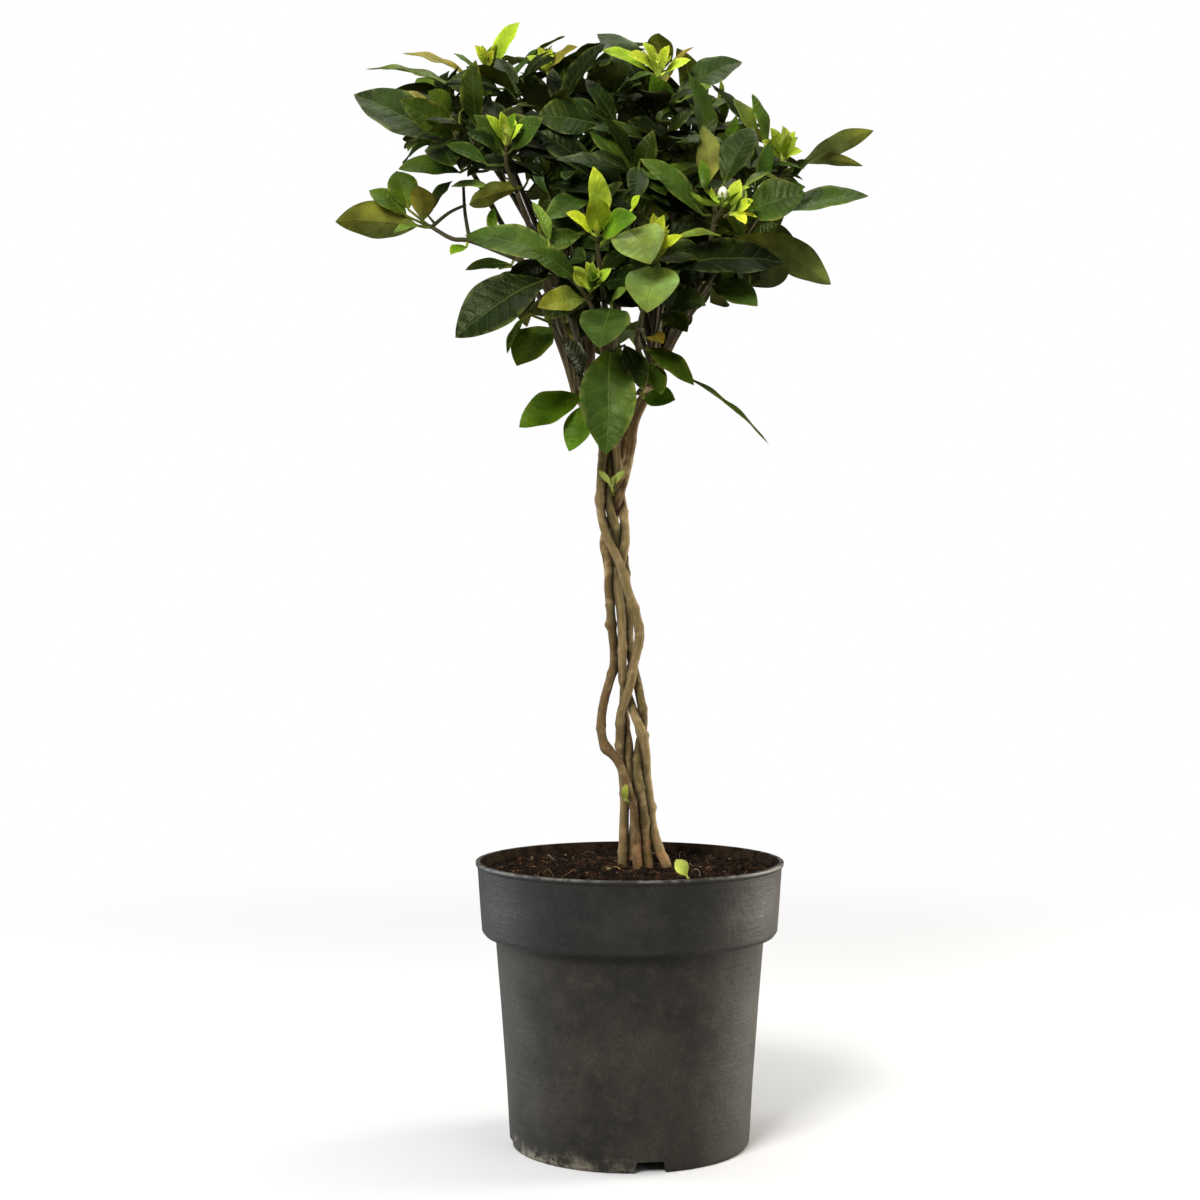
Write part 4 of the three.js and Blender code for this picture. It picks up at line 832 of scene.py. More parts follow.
@dataclass
class InnerShoot:
    """A small shoot within the crown: leaves that turn about an axis facing outwards."""

    heart: Spot
    seed: int
    count: int = 7
    turn: float = 137.5
    lengths: Flat = (27, 50)
    slimness: Flat = (0.34, 0.46)
    spreads: Flat = (38, 92)
    petiole: float = 5
    scales: tuple[float, ...] = (1, 0.8, 0.62)
    tilts: tuple[float, ...] = (0, -18, 18)
    shifts: tuple[float, ...] = (0, 18, -18, 36, -36)
    back_from: float = 35
    back_tones: tuple[Tone, ...] = (Tone.DARK, Tone.MID, Tone.MID, Tone.LIGHT, Tone.SHEEN)
    front_tones: tuple[Tone, ...] = (Tone.DEEP, Tone.DEEP, Tone.DARK, Tone.DARK, Tone.MID)
    middle: Vector = field(init=False)
    out: Vector = field(init=False)

    def __post_init__(self) -> None:
        """Works out the shoot's place and direction."""
        self.middle = EYE.seen(self.heart)
        lean = TO_EYE * 0.5 + UP * 0.3 if self.middle.y < 0 else UP * 0.3
        self.out = ((self.middle - CROWN_MIDDLE).normalized() + lean).normalized()

    def poses(self, index: int) -> list[Pose]:
        """The poses that a leaf may take, the one first drawn before smaller and turned ones."""
        draw = random.Random(self.seed + index)
        first = self.out.orthogonal().normalized()
        turn = self.turn * index + draw.uniform(-15, 15)
        spread = mix(*self.spreads, draw.random())
        length = mix(*self.lengths, draw.random())
        slim = mix(*self.slimness, draw.random())
        tone = draw.choice(self.back_tones if self.middle.y > self.back_from else self.front_tones)
        arch, twist = draw.uniform(0.03, 0.14), draw.uniform(-25, 25)
        root = self.middle + self.out * draw.uniform(-6, 4)
        poses = []
        for scale, tilt, shift in product(self.scales, self.tilts, self.shifts):
            around = Quaternion(self.out, math.radians(turn + shift)) @ first
            along = leaning(self.out, around, math.radians(spread + tilt))
            base = root + along * self.petiole
            tip = base + along * length * scale
            poses.append(Pose(
                root, base, tip, square(self.out, along), length * scale * slim, tone, arch, twist
            ))
        return poses


# Meshes


def outline(share: float) -> float:
    """Share of the half width along a blade, widest a little past its middle."""
    return max(math.sin(math.pi * clamp(share) ** 1.1), 0.0) ** 0.85


def wrap(
    bm: bmesh.types.BMesh,
    columns: int,
    rows: int,
    place: Callable[[float, float], Vector],
    flip: bool = False,
) -> list[tuple[bmesh.types.BMVert, float, float]]:
    """Adds a grid and moves its points onto a surface.

    Args:
        bm: the mesh that it is added to.
        columns: faces across.
        rows: faces along.
        place: the point for a place across, from -1 to 1, and along, from 0 to 1.
        flip: turns the faces round.

    Returns:
        The grid's points, each with its place across and along.
    """
    made = bmesh.ops.create_grid(bm, x_segments=columns, y_segments=rows, size=1.0)["verts"]
    if flip:
        faces = list({face for vert in made for face in vert.link_faces})
        bmesh.ops.reverse_faces(bm, faces=faces)
    spots = [(vert, round(vert.co.x, 6), clamp((round(vert.co.y, 6) + 1) / 2)) for vert in made]
    for vert, x, y in spots:
        vert.co = place(x, y)
    return spots


def carried(points: Sequence[Vector]) -> list[tuple[Vector, Vector, Vector]]:
    """Directions along, across and over at each point of a path, turned as little as can be.

    Args:
        points: the path.

    Returns:
        Three directions for each point.
    """
    frames = []
    last = len(points) - 1
    across = None
    for i in range(last + 1):
        along = (points[min(i + 1, last)] - points[max(i - 1, 0)]).normalized()
        if across is None:
            across = Vector((1, 0, 0)) if abs(along.z) > 0.9 else UP.copy()
        across = square(across, along)
        frames.append((along, across.copy(), across.cross(along)))
    return frames


def eased(start: Number, end: Number, leave: Number, arrive: Number, s: float) -> Number:
    """The number or point at a share s between two, left and reached with a given step."""
    rest = start * (1 + 2 * s) * (1 - s) ** 2 + end * s * s * (3 - 2 * s)
    return rest + leave * s * (1 - s) ** 2 - arrive * s * s * (1 - s)


def curve_through(points: Sequence[Vector], parts: int) -> list[Vector]:
    """A smooth curve through points.

    Args:
        points: the points, in order.
        parts: pieces between each two of them.

    Returns:
        The curve's points.
    """
    last = len(points) - 1
    curve = []
    for i in range(last):
        a, b = points[i], points[i + 1]
        leave = (b - points[max(i - 1, 0)]) / (2 if i else 1)
        arrive = (points[min(i + 2, last)] - a) / (2 if i + 2 <= last else 1)
        curve += [eased(a, b, leave, arrive, k / parts) for k in range(parts)]
    curve.append(points[last].copy())
    return curve


def put(name: str, data: bpy.types.ID) -> bpy.types.Object:
    """Makes an object and puts it in the scene."""
    made = bpy.data.objects.new(name, data)
    bpy.context.scene.collection.objects.link(made)
    return made


@dataclass
class Skin:
    """A mesh under construction with the attributes that its finishes read."""

    name: str
    bm: bmesh.types.BMesh = field(default_factory=bmesh.new)

    def __post_init__(self) -> None:
        """Adds the attributes: a tint, and a place on a blade or along a stem."""
        self.tint = self.bm.verts.layers.float_color.new("tint")
        self.grain = self.bm.verts.layers.float_vector.new("grain")

    def tube(
        self,
        points: Sequence[Vector],
        radii: Sequence[float],
        facets: int,
        slot: int,
        tint: Sequence[float],
        swell: Callable[[Vector, Vector], float] | None = None,
    ) -> None:
        """Adds a round body along a path, closed at both ends.

        Args:
            points: the path, in millimetres.
            radii: the radius at each point.
            facets: faces around.
            slot: the finish's number.
            tint: the colour, linear, and what the finish reads beside it.
            swell: added to the radius, for a point and the direction outwards.
        """
        frames = carried(points)
        count = len(points) - 1
        lengths = [0.0]
        for a, b in zip(points, points[1:]):
            lengths.append(lengths[-1] + (b - a).length)

        def place(x: float, y: float) -> Vector:
            """A point on the body."""
            ring = round(y * (count + 2)) - 1
            end = ring < 0 or ring > count
            ring = min(max(ring, 0), count)
            _, across, over = frames[ring]
            angle = math.pi * x
            out = across * math.cos(angle) + over * math.sin(angle)
            radius = 0.0 if end else radii[ring]
            if swell and not end:
                radius += swell(points[ring], out)
            return (points[ring] + out * radius) * MM

        spots = wrap(self.bm, facets, count + 2, place)
        for vert, x, y in spots:
            ring = min(max(round(y * (count + 2)) - 1, 0), count)
            turn = (math.cos(math.pi * x) * radii[ring], math.sin(math.pi * x) * radii[ring])
            vert[self.tint] = (*tint[:3], tint[3] if len(tint) > 3 else 0.0)
            vert[self.grain] = (*turn, lengths[ring])
        self.close([vert for vert, _, _ in spots], slot)

    def paint(self, verts: list[bmesh.types.BMVert], tint: Sequence[float], slot: int) -> None:
        """Gives new points a colour and their own place, and their faces a finish."""
        for vert in verts:
            vert[self.tint] = (*tint, 0.0)
            vert[self.grain] = vert.co / MM
        for face in {face for vert in verts for face in vert.link_faces}:
            face.material_index = slot

    def close(self, verts: list[bmesh.types.BMVert], slot: int) -> None:
        """Welds a new part's seam and poles and gives its faces a finish."""
        for face in {face for vert in verts for face in vert.link_faces}:
            face.material_index = slot
            face.smooth = True
        bmesh.ops.remove_doubles(self.bm, verts=verts, dist=WELD)

    def finish(
        self, node: str | Sequence[str], slot: str, materials: Sequence[Material]
    ) -> bpy.types.Object:
        """Makes the mesh a piece that stands for its node.

        Args:
            node: the node or nodes that it replaces.
            slot: the record's material slot; not used.
            materials: its finishes, in the order of their numbers.

        Returns:
            The piece.
        """
        for vert in self.bm.verts:
            for k in range(3):
                vert.co[k] = min(max(vert.co[k], CAD_BOX[0][k]), CAD_BOX[1][k])
        for edge in self.bm.edges:
            sides = [face.material_index for face in edge.link_faces]
            edge.smooth = len(sides) == 2 and sides[0] == sides[1]
        mesh = bpy.data.meshes.new(self.name)
        self.bm.to_mesh(mesh)
        self.bm.free()
        for material in materials:
            mesh.materials.append(material)
        piece = put(self.name, mesh)
        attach(piece, "root")
        nodes = [node] if isinstance(node, str) else list(node)
        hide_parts(*nodes)
        log.info("%s: %d faces for %s", self.name, len(mesh.polygons), ", ".join(nodes))
        return piece


# The least length of a blade, and where along it its solid's sections lie
SECTIONS = ((70, (0.18, 0.4, 0.62, 0.84)), (42, (0.24, 0.52, 0.8)), (0, (0.32, 0.7)))


@dataclass
class Blade:
    """One leaf's form: a petiole, and a folded, arched blade that comes to a point."""

    pose: Pose
    seed: int = 0
    petiole: float = 0.85
    fold: float = 0.22
    thick: float = 0.26
    keel: float = 0.5
    step: float = 2.6
    crinkle_size: float = 9
    crinkle_rise: float = 0.7
    crinkle_from: float = 6
    ripple_turns: Flat = (1.4, 40)
    droop: float = 0.06
    droop_from: float = 0.8
    at_foot: float = 1e-4
    at_margin: float = 0.999
    groove: float = 0.16
    side_power: float = 1.15
    crease: Flat = (0.015, 0.122)
    wide: float = 14
    most_rows: int = 26
    core: Flat = (50, 105)
    painted_core_shade: float = 0.5
    shades: Flat = (0.84, 1.16)
    warmth: Flat = (0.94, 1.1)
    petiole_radii: Spot = (0.95, 0.8, 0.78)
    rib_shares: tuple[float, ...] = (0.12, 0.3, 0.5, 0.7)
    rib_depths: Flat = (0.25, 0.12)
    rib_radii: Flat = (0.7, 0.22)
    along: Vector = field(init=False)
    length: float = field(init=False)

    def __post_init__(self) -> None:
        """Works out the blade's directions."""
        step = self.pose.tip - self.pose.base
        self.length = step.length
        self.along = step.normalized()
        self.side = self.along.cross(self.pose.upper)
        self.bulge = self.pose.arch * self.length * 4
        draw = random.Random(self.seed)
        self.phases = (draw.uniform(0, FULL_TURN), draw.uniform(0, FULL_TURN))
        self.ripple = draw.uniform(0.3, 1.0) * min(1.0, self.length / 40) + 0.5 * self.pose.wave
        self.random = draw.random()
        self.sway = draw.uniform(-0.035, 0.035) * self.length
        self.place = Vector((draw.uniform(0, 50), draw.uniform(0, 50), draw.uniform(0, 50)))

    def rows(self) -> tuple[float, ...]:
        """Where along the blade its solid's sections lie."""
        return next(rows for least, rows in SECTIONS if self.length > least)

    def frame_at(self, share: float) -> tuple[Vector, Vector, Vector]:
        """The middle, level direction and outward direction at a share of the blade."""
        slope = math.atan2(self.bulge * (1 - 2 * share), self.length)
        twist = math.radians(self.pose.twist) * share
        out = self.pose.upper * math.cos(slope) - self.along * math.sin(slope)
        level = self.side * math.cos(twist) + out * math.sin(twist)
        out = out * math.cos(twist) - self.side * math.sin(twist)
        middle = self.pose.base + self.along * (self.length * share)
        return middle + self.pose.upper * (self.bulge * share * (1 - share)), level, out

    def solid_point(self, row: int, x: int) -> Vector:
        """A point on the margin of the blade's solid."""
        share = self.rows()[row]
        middle, level, out = self.frame_at(share)
        half = self.pose.width / 2 * outline(share)
        wave = self.pose.wave * (-1 if row % 2 else 1)
        return middle + level * (x * half) + out * (self.fold * half + wave)

    def wave_at(self, share: float) -> float:
        """The height of the margin's wave at a share of the blade."""
        rows = (0.0, *self.rows(), 1.0)
        i = max(k for k, start in enumerate(rows[:-1]) if share >= start)
        place = i + (share - rows[i]) / (rows[i + 1] - rows[i])
        return self.pose.wave * math.cos(math.pi * (place - 1)) * math.sin(math.pi * clamp(share))

    def point(self, x: float, share: float, face: int) -> Vector:
        """A point of the fine blade.

        Args:
            x: its place across, from -1 to 1.
            share: its place along, from 0 to 1.
            face: 1 for the upper side and -1 for the underside.

        Returns:
            The point, in metres.
        """
        middle, level, out = self.frame_at(share)
        half = math.hypot(self.pose.width / 2 * outline(share), self.petiole * (1 - share) ** 6)
        if share < self.at_foot:
            half = 0.0
        across = math.copysign(abs(x) ** self.side_power, x)
        side = math.sqrt(across * across + self.crease[0]) - self.crease[1]
        lift = side * (self.fold * half + self.wave_at(share))
        phase = self.phases[0 if x < 0 else 1]
        turns = self.ripple_turns[0] + self.length / self.ripple_turns[1]
        lift += self.ripple * across * across * math.sin(turns * FULL_TURN * share + phase) * outline(share)
        size = self.crinkle_size
        spot = Vector((across * half / size, share * self.length / size, 0))
        crinkle = noise.noise(self.place + spot)
        lift += self.crinkle_rise * crinkle * outline(share) * min(1.0, half / self.crinkle_from)
        sway = self.sway * math.sin(math.pi * share) * math.cos(math.pi * share)
        lift -= self.droop * self.length * smooth(self.droop_from, 1.0, share) * (1 - share)
        keel = math.exp(-((across * half / 0.7) ** 2)) * (1 - share)
        thick = self.thick * min(1.0, half / 1.5) * (1 - abs(x) ** 4)
        rise = thick - self.groove * keel if face > 0 else -thick - self.keel * keel * min(1.0, half)
        if abs(x) > self.at_margin:
            rise = 0.0
        return (middle + level * (across * half + sway) + out * (lift + rise)) * MM

    def add(self, skin: Skin, upper: int = 0, under: int = 1) -> None:
        """Adds the blade and its petiole to a mesh.

        Args:
            skin: the mesh.
            upper: the number of the upper side's finish.
            under: the number of the underside's.
        """
        columns = 10 if self.pose.width > self.wide and self.step < 3 else 6
        rows = int(min(max(self.length / self.step, 7), self.most_rows))
        draw = random.Random(self.seed + 7)
        # Painted shade: leaves nearer the crown's middle are made darker
        inner = (self.pose.base.lerp(self.pose.tip, 0.5) - CROWN_MIDDLE).length
        shade = draw.uniform(*self.shades) * mix(self.painted_core_shade, 1, smooth(*self.core, inner))
        warm = draw.uniform(*self.warmth)
        both = []
        for face, number in ((1, upper), (-1, under)):
            spots = wrap(
                skin.bm, columns, rows, lambda x, y, f=face: self.point(x, y, f), flip=face < 0
            )
            # Painted shade darkens the undersides of back leaves
            lit = shade * (1 if face > 0 else self.pose.painted_underside_shade)
            red, green, blue = (part * lit for part in self.pose.tone.linear(0 if face > 0 else 1))
            for vert, x, share in spots:
                across = math.copysign(abs(x) ** self.side_power, x) * outline(share)
                vert[skin.tint] = (red * warm, green, blue, self.random)
                vert[skin.grain] = (across, share, self.length)
            for side in {f for vert, _, _ in spots for f in vert.link_faces}:
                side.material_index = number
                side.smooth = True
            both += [vert for vert, _, _ in spots]
        bmesh.ops.remove_doubles(skin.bm, verts=both, dist=WELD)
        self.add_petiole(skin, under, shade)

    def add_petiole(self, skin: Skin, slot: int, shade: float) -> None:
        """Adds the petiole, which runs on under the blade as its midrib."""
        root, base = self.pose.root, self.pose.base
        path = [root, root.lerp(base, 0.5), base]
        radii = list(self.petiole_radii)
        for share in self.rib_shares:
            middle, _, out = self.frame_at(share)
            path.append(middle - out * mix(*self.rib_depths, share))
            radii.append(mix(*self.rib_radii, share / self.rib_shares[-1]))
        tint = [c * shade for c in self.pose.tone.linear(1)]
        skin.tube(path, radii, 6, slot, (*tint, self.random))


def small_blade(pose: Pose, seed: int) -> Blade:
    """A small young leaf, with a thin blade and petiole."""
    return Blade(pose, seed, petiole=0.6, thick=0.2)


# Sub-assemblies


@dataclass(kw_only=True)
class Assembly:
    """A sub-assembly of the plant, with its finishes in the order of their numbers."""

    materials: list[Material] = field(default_factory=list)


@dataclass
class Foliage(Assembly):
    """The leafy shoots: sizes of their twigs, and the young leaves that fill each tuft."""

    foot: float = 1.6
    tip: float = 1.25
    thin: float = 0.9
    gap: float = 0.3
    front_seed: int = 100
    tuft_seed: int = 900
    back_seed: int = 2000
    seed_step: int = 20
    tuft_leaves: int = 15
    tuft_spreads: Flat = (6, 54)
    tuft_lengths: Flat = (7, 17)
    tuft_slimness: Flat = (0.34, 0.56)
    tuft_tones: tuple[Tone, ...] = (Tone.YOUNG, Tone.YOUNG, Tone.LIME, Tone.BRIGHT)
    placement: Placement = field(default_factory=Placement)
    young: list[Material] = field(default_factory=list)

    def build(self) -> None:
        """Makes every shoot and tuft."""
        for number, (name, shoot) in enumerate(FRONT_SHOOTS.items()):
            self.front(name, shoot, self.front_seed + number * self.seed_step)
        for number, (name, shoot) in enumerate(YOUNG_TUFTS.items()):
            self.tuft(name, shoot, self.tuft_seed + number * self.seed_step)
        for number, (name, (_, heart)) in enumerate(BACK_SHOOTS.items()):
            ruled = RuledShoot(heart, BACK_SEED + number)
            self.back(name, ruled, self.back_seed + number * self.seed_step)

    def twig(self, skin: Skin, points: Sequence[Vector], foot: float, tip: float) -> None:
        """Adds a twig that thins towards its end."""
        curve = curve_through(points, 5)
        radii = [mix(foot, tip, i / (len(curve) - 1)) for i in range(len(curve))]
        skin.tube(curve, radii, 8, 2, screen(TWIG_COLOUR))

    def leaves(self, skin: Skin, name: str, leaves: Iterable[list[Pose]], seed: int) -> None:
        """Adds each leaf where its solid stands."""
        solid = solid_points(name)
        for index, poses in enumerate(leaves):
            pose = self.placement.taken(poses, solid)
            if pose is None:
                log.info("%s: leaf %d has no solid", name, index)
                continue
            Blade(pose, seed + index).add(skin)

    def front(self, name: str, shoot: Shoot, seed: int) -> None:
        """Makes a shoot of the front."""
        skin = Skin(f"{name}_leafy")
        self.twig(skin, EYE.line(shoot.axis), self.foot, self.tip)
        for line in shoot.offshoots:
            self.twig(skin, EYE.line(line), self.tip, self.thin)
        poses = [self.placement.seen_poses(leaf, shoot) for leaf in shoot.leaves]
        self.leaves(skin, name, poses, seed)
        skin.finish(name, "leaf_green", self.materials)

    def tuft(self, name: str, shoot: Shoot, seed: int) -> None:
        """Makes a tuft of young leaves, with small ones between those of its solid."""
        skin = Skin(f"{name}_leafy")
        start, end = EYE.line(shoot.axis)
        onward = (end - start).normalized()
        axis = [start + onward * self.gap, end]
        self.twig(skin, axis, self.tip, self.thin)
        poses = [self.placement.seen_poses(leaf, shoot, axis) for leaf in shoot.leaves]
        self.leaves(skin, name, poses, seed)
        draw = random.Random(seed)
        first = onward.orthogonal().normalized()
        for i in range(self.tuft_leaves):
            around = Quaternion(onward, GOLDEN_TURN * i + draw.uniform(*TURN_PLAY)) @ first
            along = leaning(onward, around, math.radians(draw.uniform(*self.tuft_spreads)))
            length = draw.uniform(*self.tuft_lengths)
            base = end + along * 1.5
            tone = draw.choice(self.tuft_tones)
            width = length * draw.uniform(*self.tuft_slimness)
            pose = Pose(
                end - onward, base, base + along * length, square(onward, along), width, tone,
                draw.uniform(-0.2, 0.22), draw.uniform(-60, 60),
            )
            small_blade(pose, seed + 50 + i).add(skin)
        skin.finish(name, "leaf_young", self.young)

    def back(self, name: str, shoot: RuledShoot, seed: int) -> None:
        """Makes a shoot of the back."""
        skin = Skin(f"{name}_leafy")
        self.twig(skin, shoot.axis, self.foot, self.tip)
        poses = [self.placement.ruled_poses(shoot, leaf) for leaf in shoot.leaves]
        self.leaves(skin, name, poses, seed)
        skin.finish(name, "leaf_green", self.materials)


@dataclass
class InnerLeaves(Assembly):
    """Small shoots that fill the crown between those of the solids, clear of every solid."""

    low: float = 0.44
    twig_foot: float = 1.0
    twig_tip: float = 0.7
    spare: float = 0.002
    seed: int = 5000
    seed_step: int = 40

    def solids(self) -> BVHTree:
        """The faces of every solid in the crown."""
        verts: list[Vector] = []
        faces: list[list[int]] = []
        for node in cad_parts.values():
            if max(vert.co.z for vert in node.data.vertices) < self.low:
                continue
            start = len(verts)
            verts += [vert.co.copy() for vert in node.data.vertices]
            faces += [[start + i for i in face.vertices] for face in node.data.polygons]
        return BVHTree.FromPolygons(verts, faces)

    def within(self, point: Vector) -> bool:
        """Whether a point lies inside the solids' box and, seen from the front, in the crown."""
        low, high = CAD_BOX
        if not all(low[k] + self.spare < point[k] < high[k] - self.spare for k in range(3)):
            return False
        across, up = EYE.shown(point / MM)
        crossed = 0
        for start, end in zip((CROWN_OUTLINE[-1], *CROWN_OUTLINE), CROWN_OUTLINE):
            if (start[1] > up) != (end[1] > up):
                crossed += across < mix(start[0], end[0], (up - start[1]) / (end[1] - start[1]))
        return crossed % 2 == 1

    def sheet(self, blade: Blade) -> tuple[list[Vector], list[list[int]]]:
        """A blade's upper side as a coarse sheet, its points and faces."""
        rows, columns = 8, 4
        verts = [
            blade.point(2 * k / columns - 1, mix(0.04, 1, i / rows), 1)
            for i in range(rows + 1) for k in range(columns + 1)
        ]
        wide = columns + 1
        faces = [
            [i * wide + k, i * wide + k + 1, (i + 1) * wide + k + 1, (i + 1) * wide + k]
            for i in range(rows) for k in range(columns)
        ]
        return verts, faces

    def build(self) -> None:
        """Makes the small shoots, each leaf in the first pose that stands free."""
        solids = self.solids()
        lines = [axis for _, axis in grown_axes()]
        placed: tuple[list[Vector], list[list[int]]] = ([], [])
        halves = (Skin("inner_leaves_left"), Skin("inner_leaves_right"))
        for number, heart in enumerate(INNER_HEARTS):
            shoot = InnerShoot(heart, self.seed + number * self.seed_step)
            skin = halves[0 if heart[0] < CROWN_MIDDLE.x else 1]
            self.twig(skin, shoot, nearest_on(lines, shoot.middle))
            for index in range(shoot.count):
                taken = BVHTree.FromPolygons(*placed) if placed[0] else None
                for pose in shoot.poses(index):
                    blade = Blade(pose, shoot.seed + index, petiole=0.7, step=4.2)
                    sheet = self.sheet(blade)
                    if not all(self.within(vert) for vert in sheet[0]):
                        continue
                    tree = BVHTree.FromPolygons(*sheet)
                    if solids.overlap(tree) or (taken and taken.overlap(tree)):
                        continue
                    start = len(placed[0])
                    placed[0].extend(sheet[0])
                    placed[1].extend([start + i for i in face] for face in sheet[1])
                    blade.add(skin)
                    break
        for skin in halves:
            skin.finish("shoot_inner", "leaf_green", self.materials)

    def twig(self, skin: Skin, shoot: InnerShoot, start: Vector) -> None:
        """Adds a small shoot's twig, which bends outwards from the axis that it grows on."""
        end = shoot.middle + shoot.out * 5
        bend = start.lerp(shoot.middle, 0.6) - shoot.out * ((shoot.middle - start).length * 0.2)
        curve = curve_through([start, bend, end], 5)
        count = len(curve) - 1
        radii = [mix(self.twig_foot, self.twig_tip, i / count) for i in range(count + 1)]
        skin.tube(curve, radii, 6, 2, screen(TWIG_COLOUR))


def tree_of(points: Sequence[Vector]) -> KDTree:
    """Points put so that the nearest one to a place is found fast."""
    tree = KDTree(len(points))
    for index, point in enumerate(points):
        tree.insert(point, index)
    tree.balance()
    return tree


def solid_points(node: str) -> KDTree:
    """The points of a node's solid, for finding what stands where."""
    return tree_of([vert.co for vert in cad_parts[node].data.vertices])


@dataclass(frozen=True)
class Knot:
    """A swelling on a stem: its height, the way it faces, how far it stands out and its reach."""

    up: float
    towards: Flat
    rise: float = 1.4
    reach: float = 2.4


KNOTS: dict[str, tuple[Knot, ...]] = {
    "stem_1": (Knot(245, (-0.6, -0.8), 1.2), Knot(330, (0.8, -0.6), 0.8), Knot(398, (-1, 0), 0.7)),
    "stem_2": (Knot(236.5, (0.7, -0.7), 1.1), Knot(198, (1, 0), 0.8), Knot(362, (0.3, -1), 0.7)),
    "stem_3": (
        Knot(320, (-0.9, -0.5), 1.7), Knot(243.5, (-0.9, -0.4), 1.6, 3), Knot(384, (-0.9, -0.4), 0.8),
        Knot(188, (0, -1), 0.9),
    ),
    "stem_4": (Knot(251, (1, -0.2), 1.5), Knot(285, (0, -1), 1.2, 3), Knot(206, (1, -0.3), 0.9)),
    "stem_5": (Knot(334, (0.8, -0.5), 1.1), Knot(262, (-0.4, -0.9), 0.8), Knot(412, (1, 0), 0.8)),
}
BARK_TINTS = ((138, 114, 74), (146, 126, 84), (122, 106, 64), (116, 93, 60), (160, 138, 94))
BARK_SHADES = (0.96, 1.16)
# How high, how fine across and along, and where each noise starts
BARK_NOISES = ((0.16, 0.9, 0.22, 0), (0.1, 2.2, 0.6, 3))


@dataclass
class Trunk(Assembly):
    """Five stems braided round each other, each one piece with its limbs. Millimetres."""

    foot: float = 169
    top: float = 428
    flare: float = 42
    spacing: float = 5.5
    base_spacing: float = 6.6
    radius: float = 2.8
    base_radius: float = 3.3
    depth: float = 35
    step: float = 9.6
    limb_foot: float = 2.1
    limb_tip: float = 1.5
    limb_sunk: float = 3
    limb_bend: float = 0.3
    limb_parts: int = 14
    limb_facets: int = 10
    facets: int = 18
    gap: float = 0.3
    # Painted shade: how dark bark is made where it lies against another stem
    painted_crevice_shade: float = 0.14
    crevice: Flat = (2.5, 7.5)
    scars_from: float = 150
    scars_to: float = 640
    scars_apart: Flat = (26, 52)
    scar_rise: float = 0.62
    scar_reach: float = 1.7
    seed: int = 31

    def course_at(self, course: Sequence[Spot], up: float) -> list[float]:
        """A stem's place across and in depth at one height."""
        last = len(course) - 1
        i = next((k for k, point in enumerate(course) if k > 0 and point[0] <= up), last)
        before, start, end, after = (course[min(max(i + step, 0), last)] for step in (-2, -1, 0, 1))
        span = end[0] - start[0]
        s = (up - start[0]) / span
        place = []
        for k in (1, 2):
            leave = (end[k] - before[k]) / (end[0] - before[0]) * span
            arrive = (after[k] - start[k]) / (after[0] - start[0]) * span
            place.append(eased(start[k], end[k], leave, arrive, s))
        return place

    def level(self, up: float) -> list[list[float]]:
        """The stems' centres at one height, pushed apart until none lies in another."""
        spots = [self.course_at(stem.course, up) for stem in STEMS.values()]
        share = clamp((up - self.foot) / self.flare)
        spacing = mix(self.base_spacing, self.spacing, share)
        for _ in range(60):
            for a, near in enumerate(spots):
                for far in spots[a + 1:]:
                    x, y = far[0] - near[0], far[1] - near[1]
                    apart = math.hypot(x, y)
                    push = max(0.0, spacing - apart) / 2 / apart
                    near[0] -= x * push
                    near[1] -= y * push
                    far[0] += x * push
                    far[1] += y * push
        return spots

    def line(self, index: int, levels: Sequence[tuple[float, list]], crotch: Vector) -> list[Vector]:
        """A stem's centre line from its foot in the soil to its crotch."""
        points = [Vector((*spots[index], up)) for up, spots in levels]
        lean = (points[0] - points[1]) * (0.5 / self.step)
        foot = points[0]
        points.insert(0, Vector((foot.x + lean.x * self.depth, foot.y + lean.y * self.depth,
                                 foot.z - self.depth)))
        top = points[-1]
        bend = Vector((top.x, top.y, (top.z + crotch.z) / 2))
        points += [(top + crotch) * 0.25 + bend * 0.5, crotch]
        return points

    def limb(self, skin: Skin, crotch: Vector, foot: Vector, onward: Vector, seed: int) -> None:
        """Adds a limb from a crotch to a shoot's foot, rising first and then bending out."""
        reach = (foot - crotch).length
        heading = ((foot - crotch).normalized() + UP).normalized()
        ends = (
            crotch - UP * self.limb_sunk, crotch + heading * (reach * self.limb_bend),
            foot - onward * (reach * self.limb_bend), foot,
        )
        points = []
        radii = []
        for k in range(self.limb_parts + 1):
            s = k / self.limb_parts
            shares = ((1 - s) ** 3, 3 * s * (1 - s) ** 2, 3 * s * s * (1 - s), s ** 3)
            points.append(sum((end * share for end, share in zip(ends, shares)), Vector()))
            radii.append(mix(self.limb_foot, self.limb_tip, s))
        skin.tube(points, radii, self.limb_facets, 1, self.tint(seed), self.swell(seed, ()))

    def shade(self, skin: Skin, others: Sequence[Sequence[Vector]]) -> None:
        """Notes how deep each point lies between stems, for the painted shade between them."""
        tree = tree_of([point for curve in others for point in curve])
        for vert in skin.bm.verts:
            apart = tree.find(vert.co / MM)[2]
            red, green, blue, _ = vert[skin.tint]
            # Painted shade: bark near another stem is darkened through its tint's fourth part
            vert[skin.tint] = (red, green, blue, mix(self.painted_crevice_shade, 1, smooth(*self.crevice, apart)))

    def tint(self, seed: int) -> tuple[float, float, float]:
        """A stem's own shade of bark, from dark and brown to pale."""
        shade = random.Random(seed).uniform(*BARK_SHADES)
        return tuple(c * shade for c in screen(BARK_TINTS[seed % len(BARK_TINTS)]))

    def swell(self, seed: int, knots: Sequence[Knot]) -> Callable[[Vector, Vector], float]:
        """How far the bark stands out: leaf scars round the stem, knots and an uneven surface."""
        draw = random.Random(seed)
        scars = []
        height = self.scars_from + draw.uniform(0, 30)
        while height < self.scars_to:
            scars.append(height)
            height += draw.uniform(*self.scars_apart)

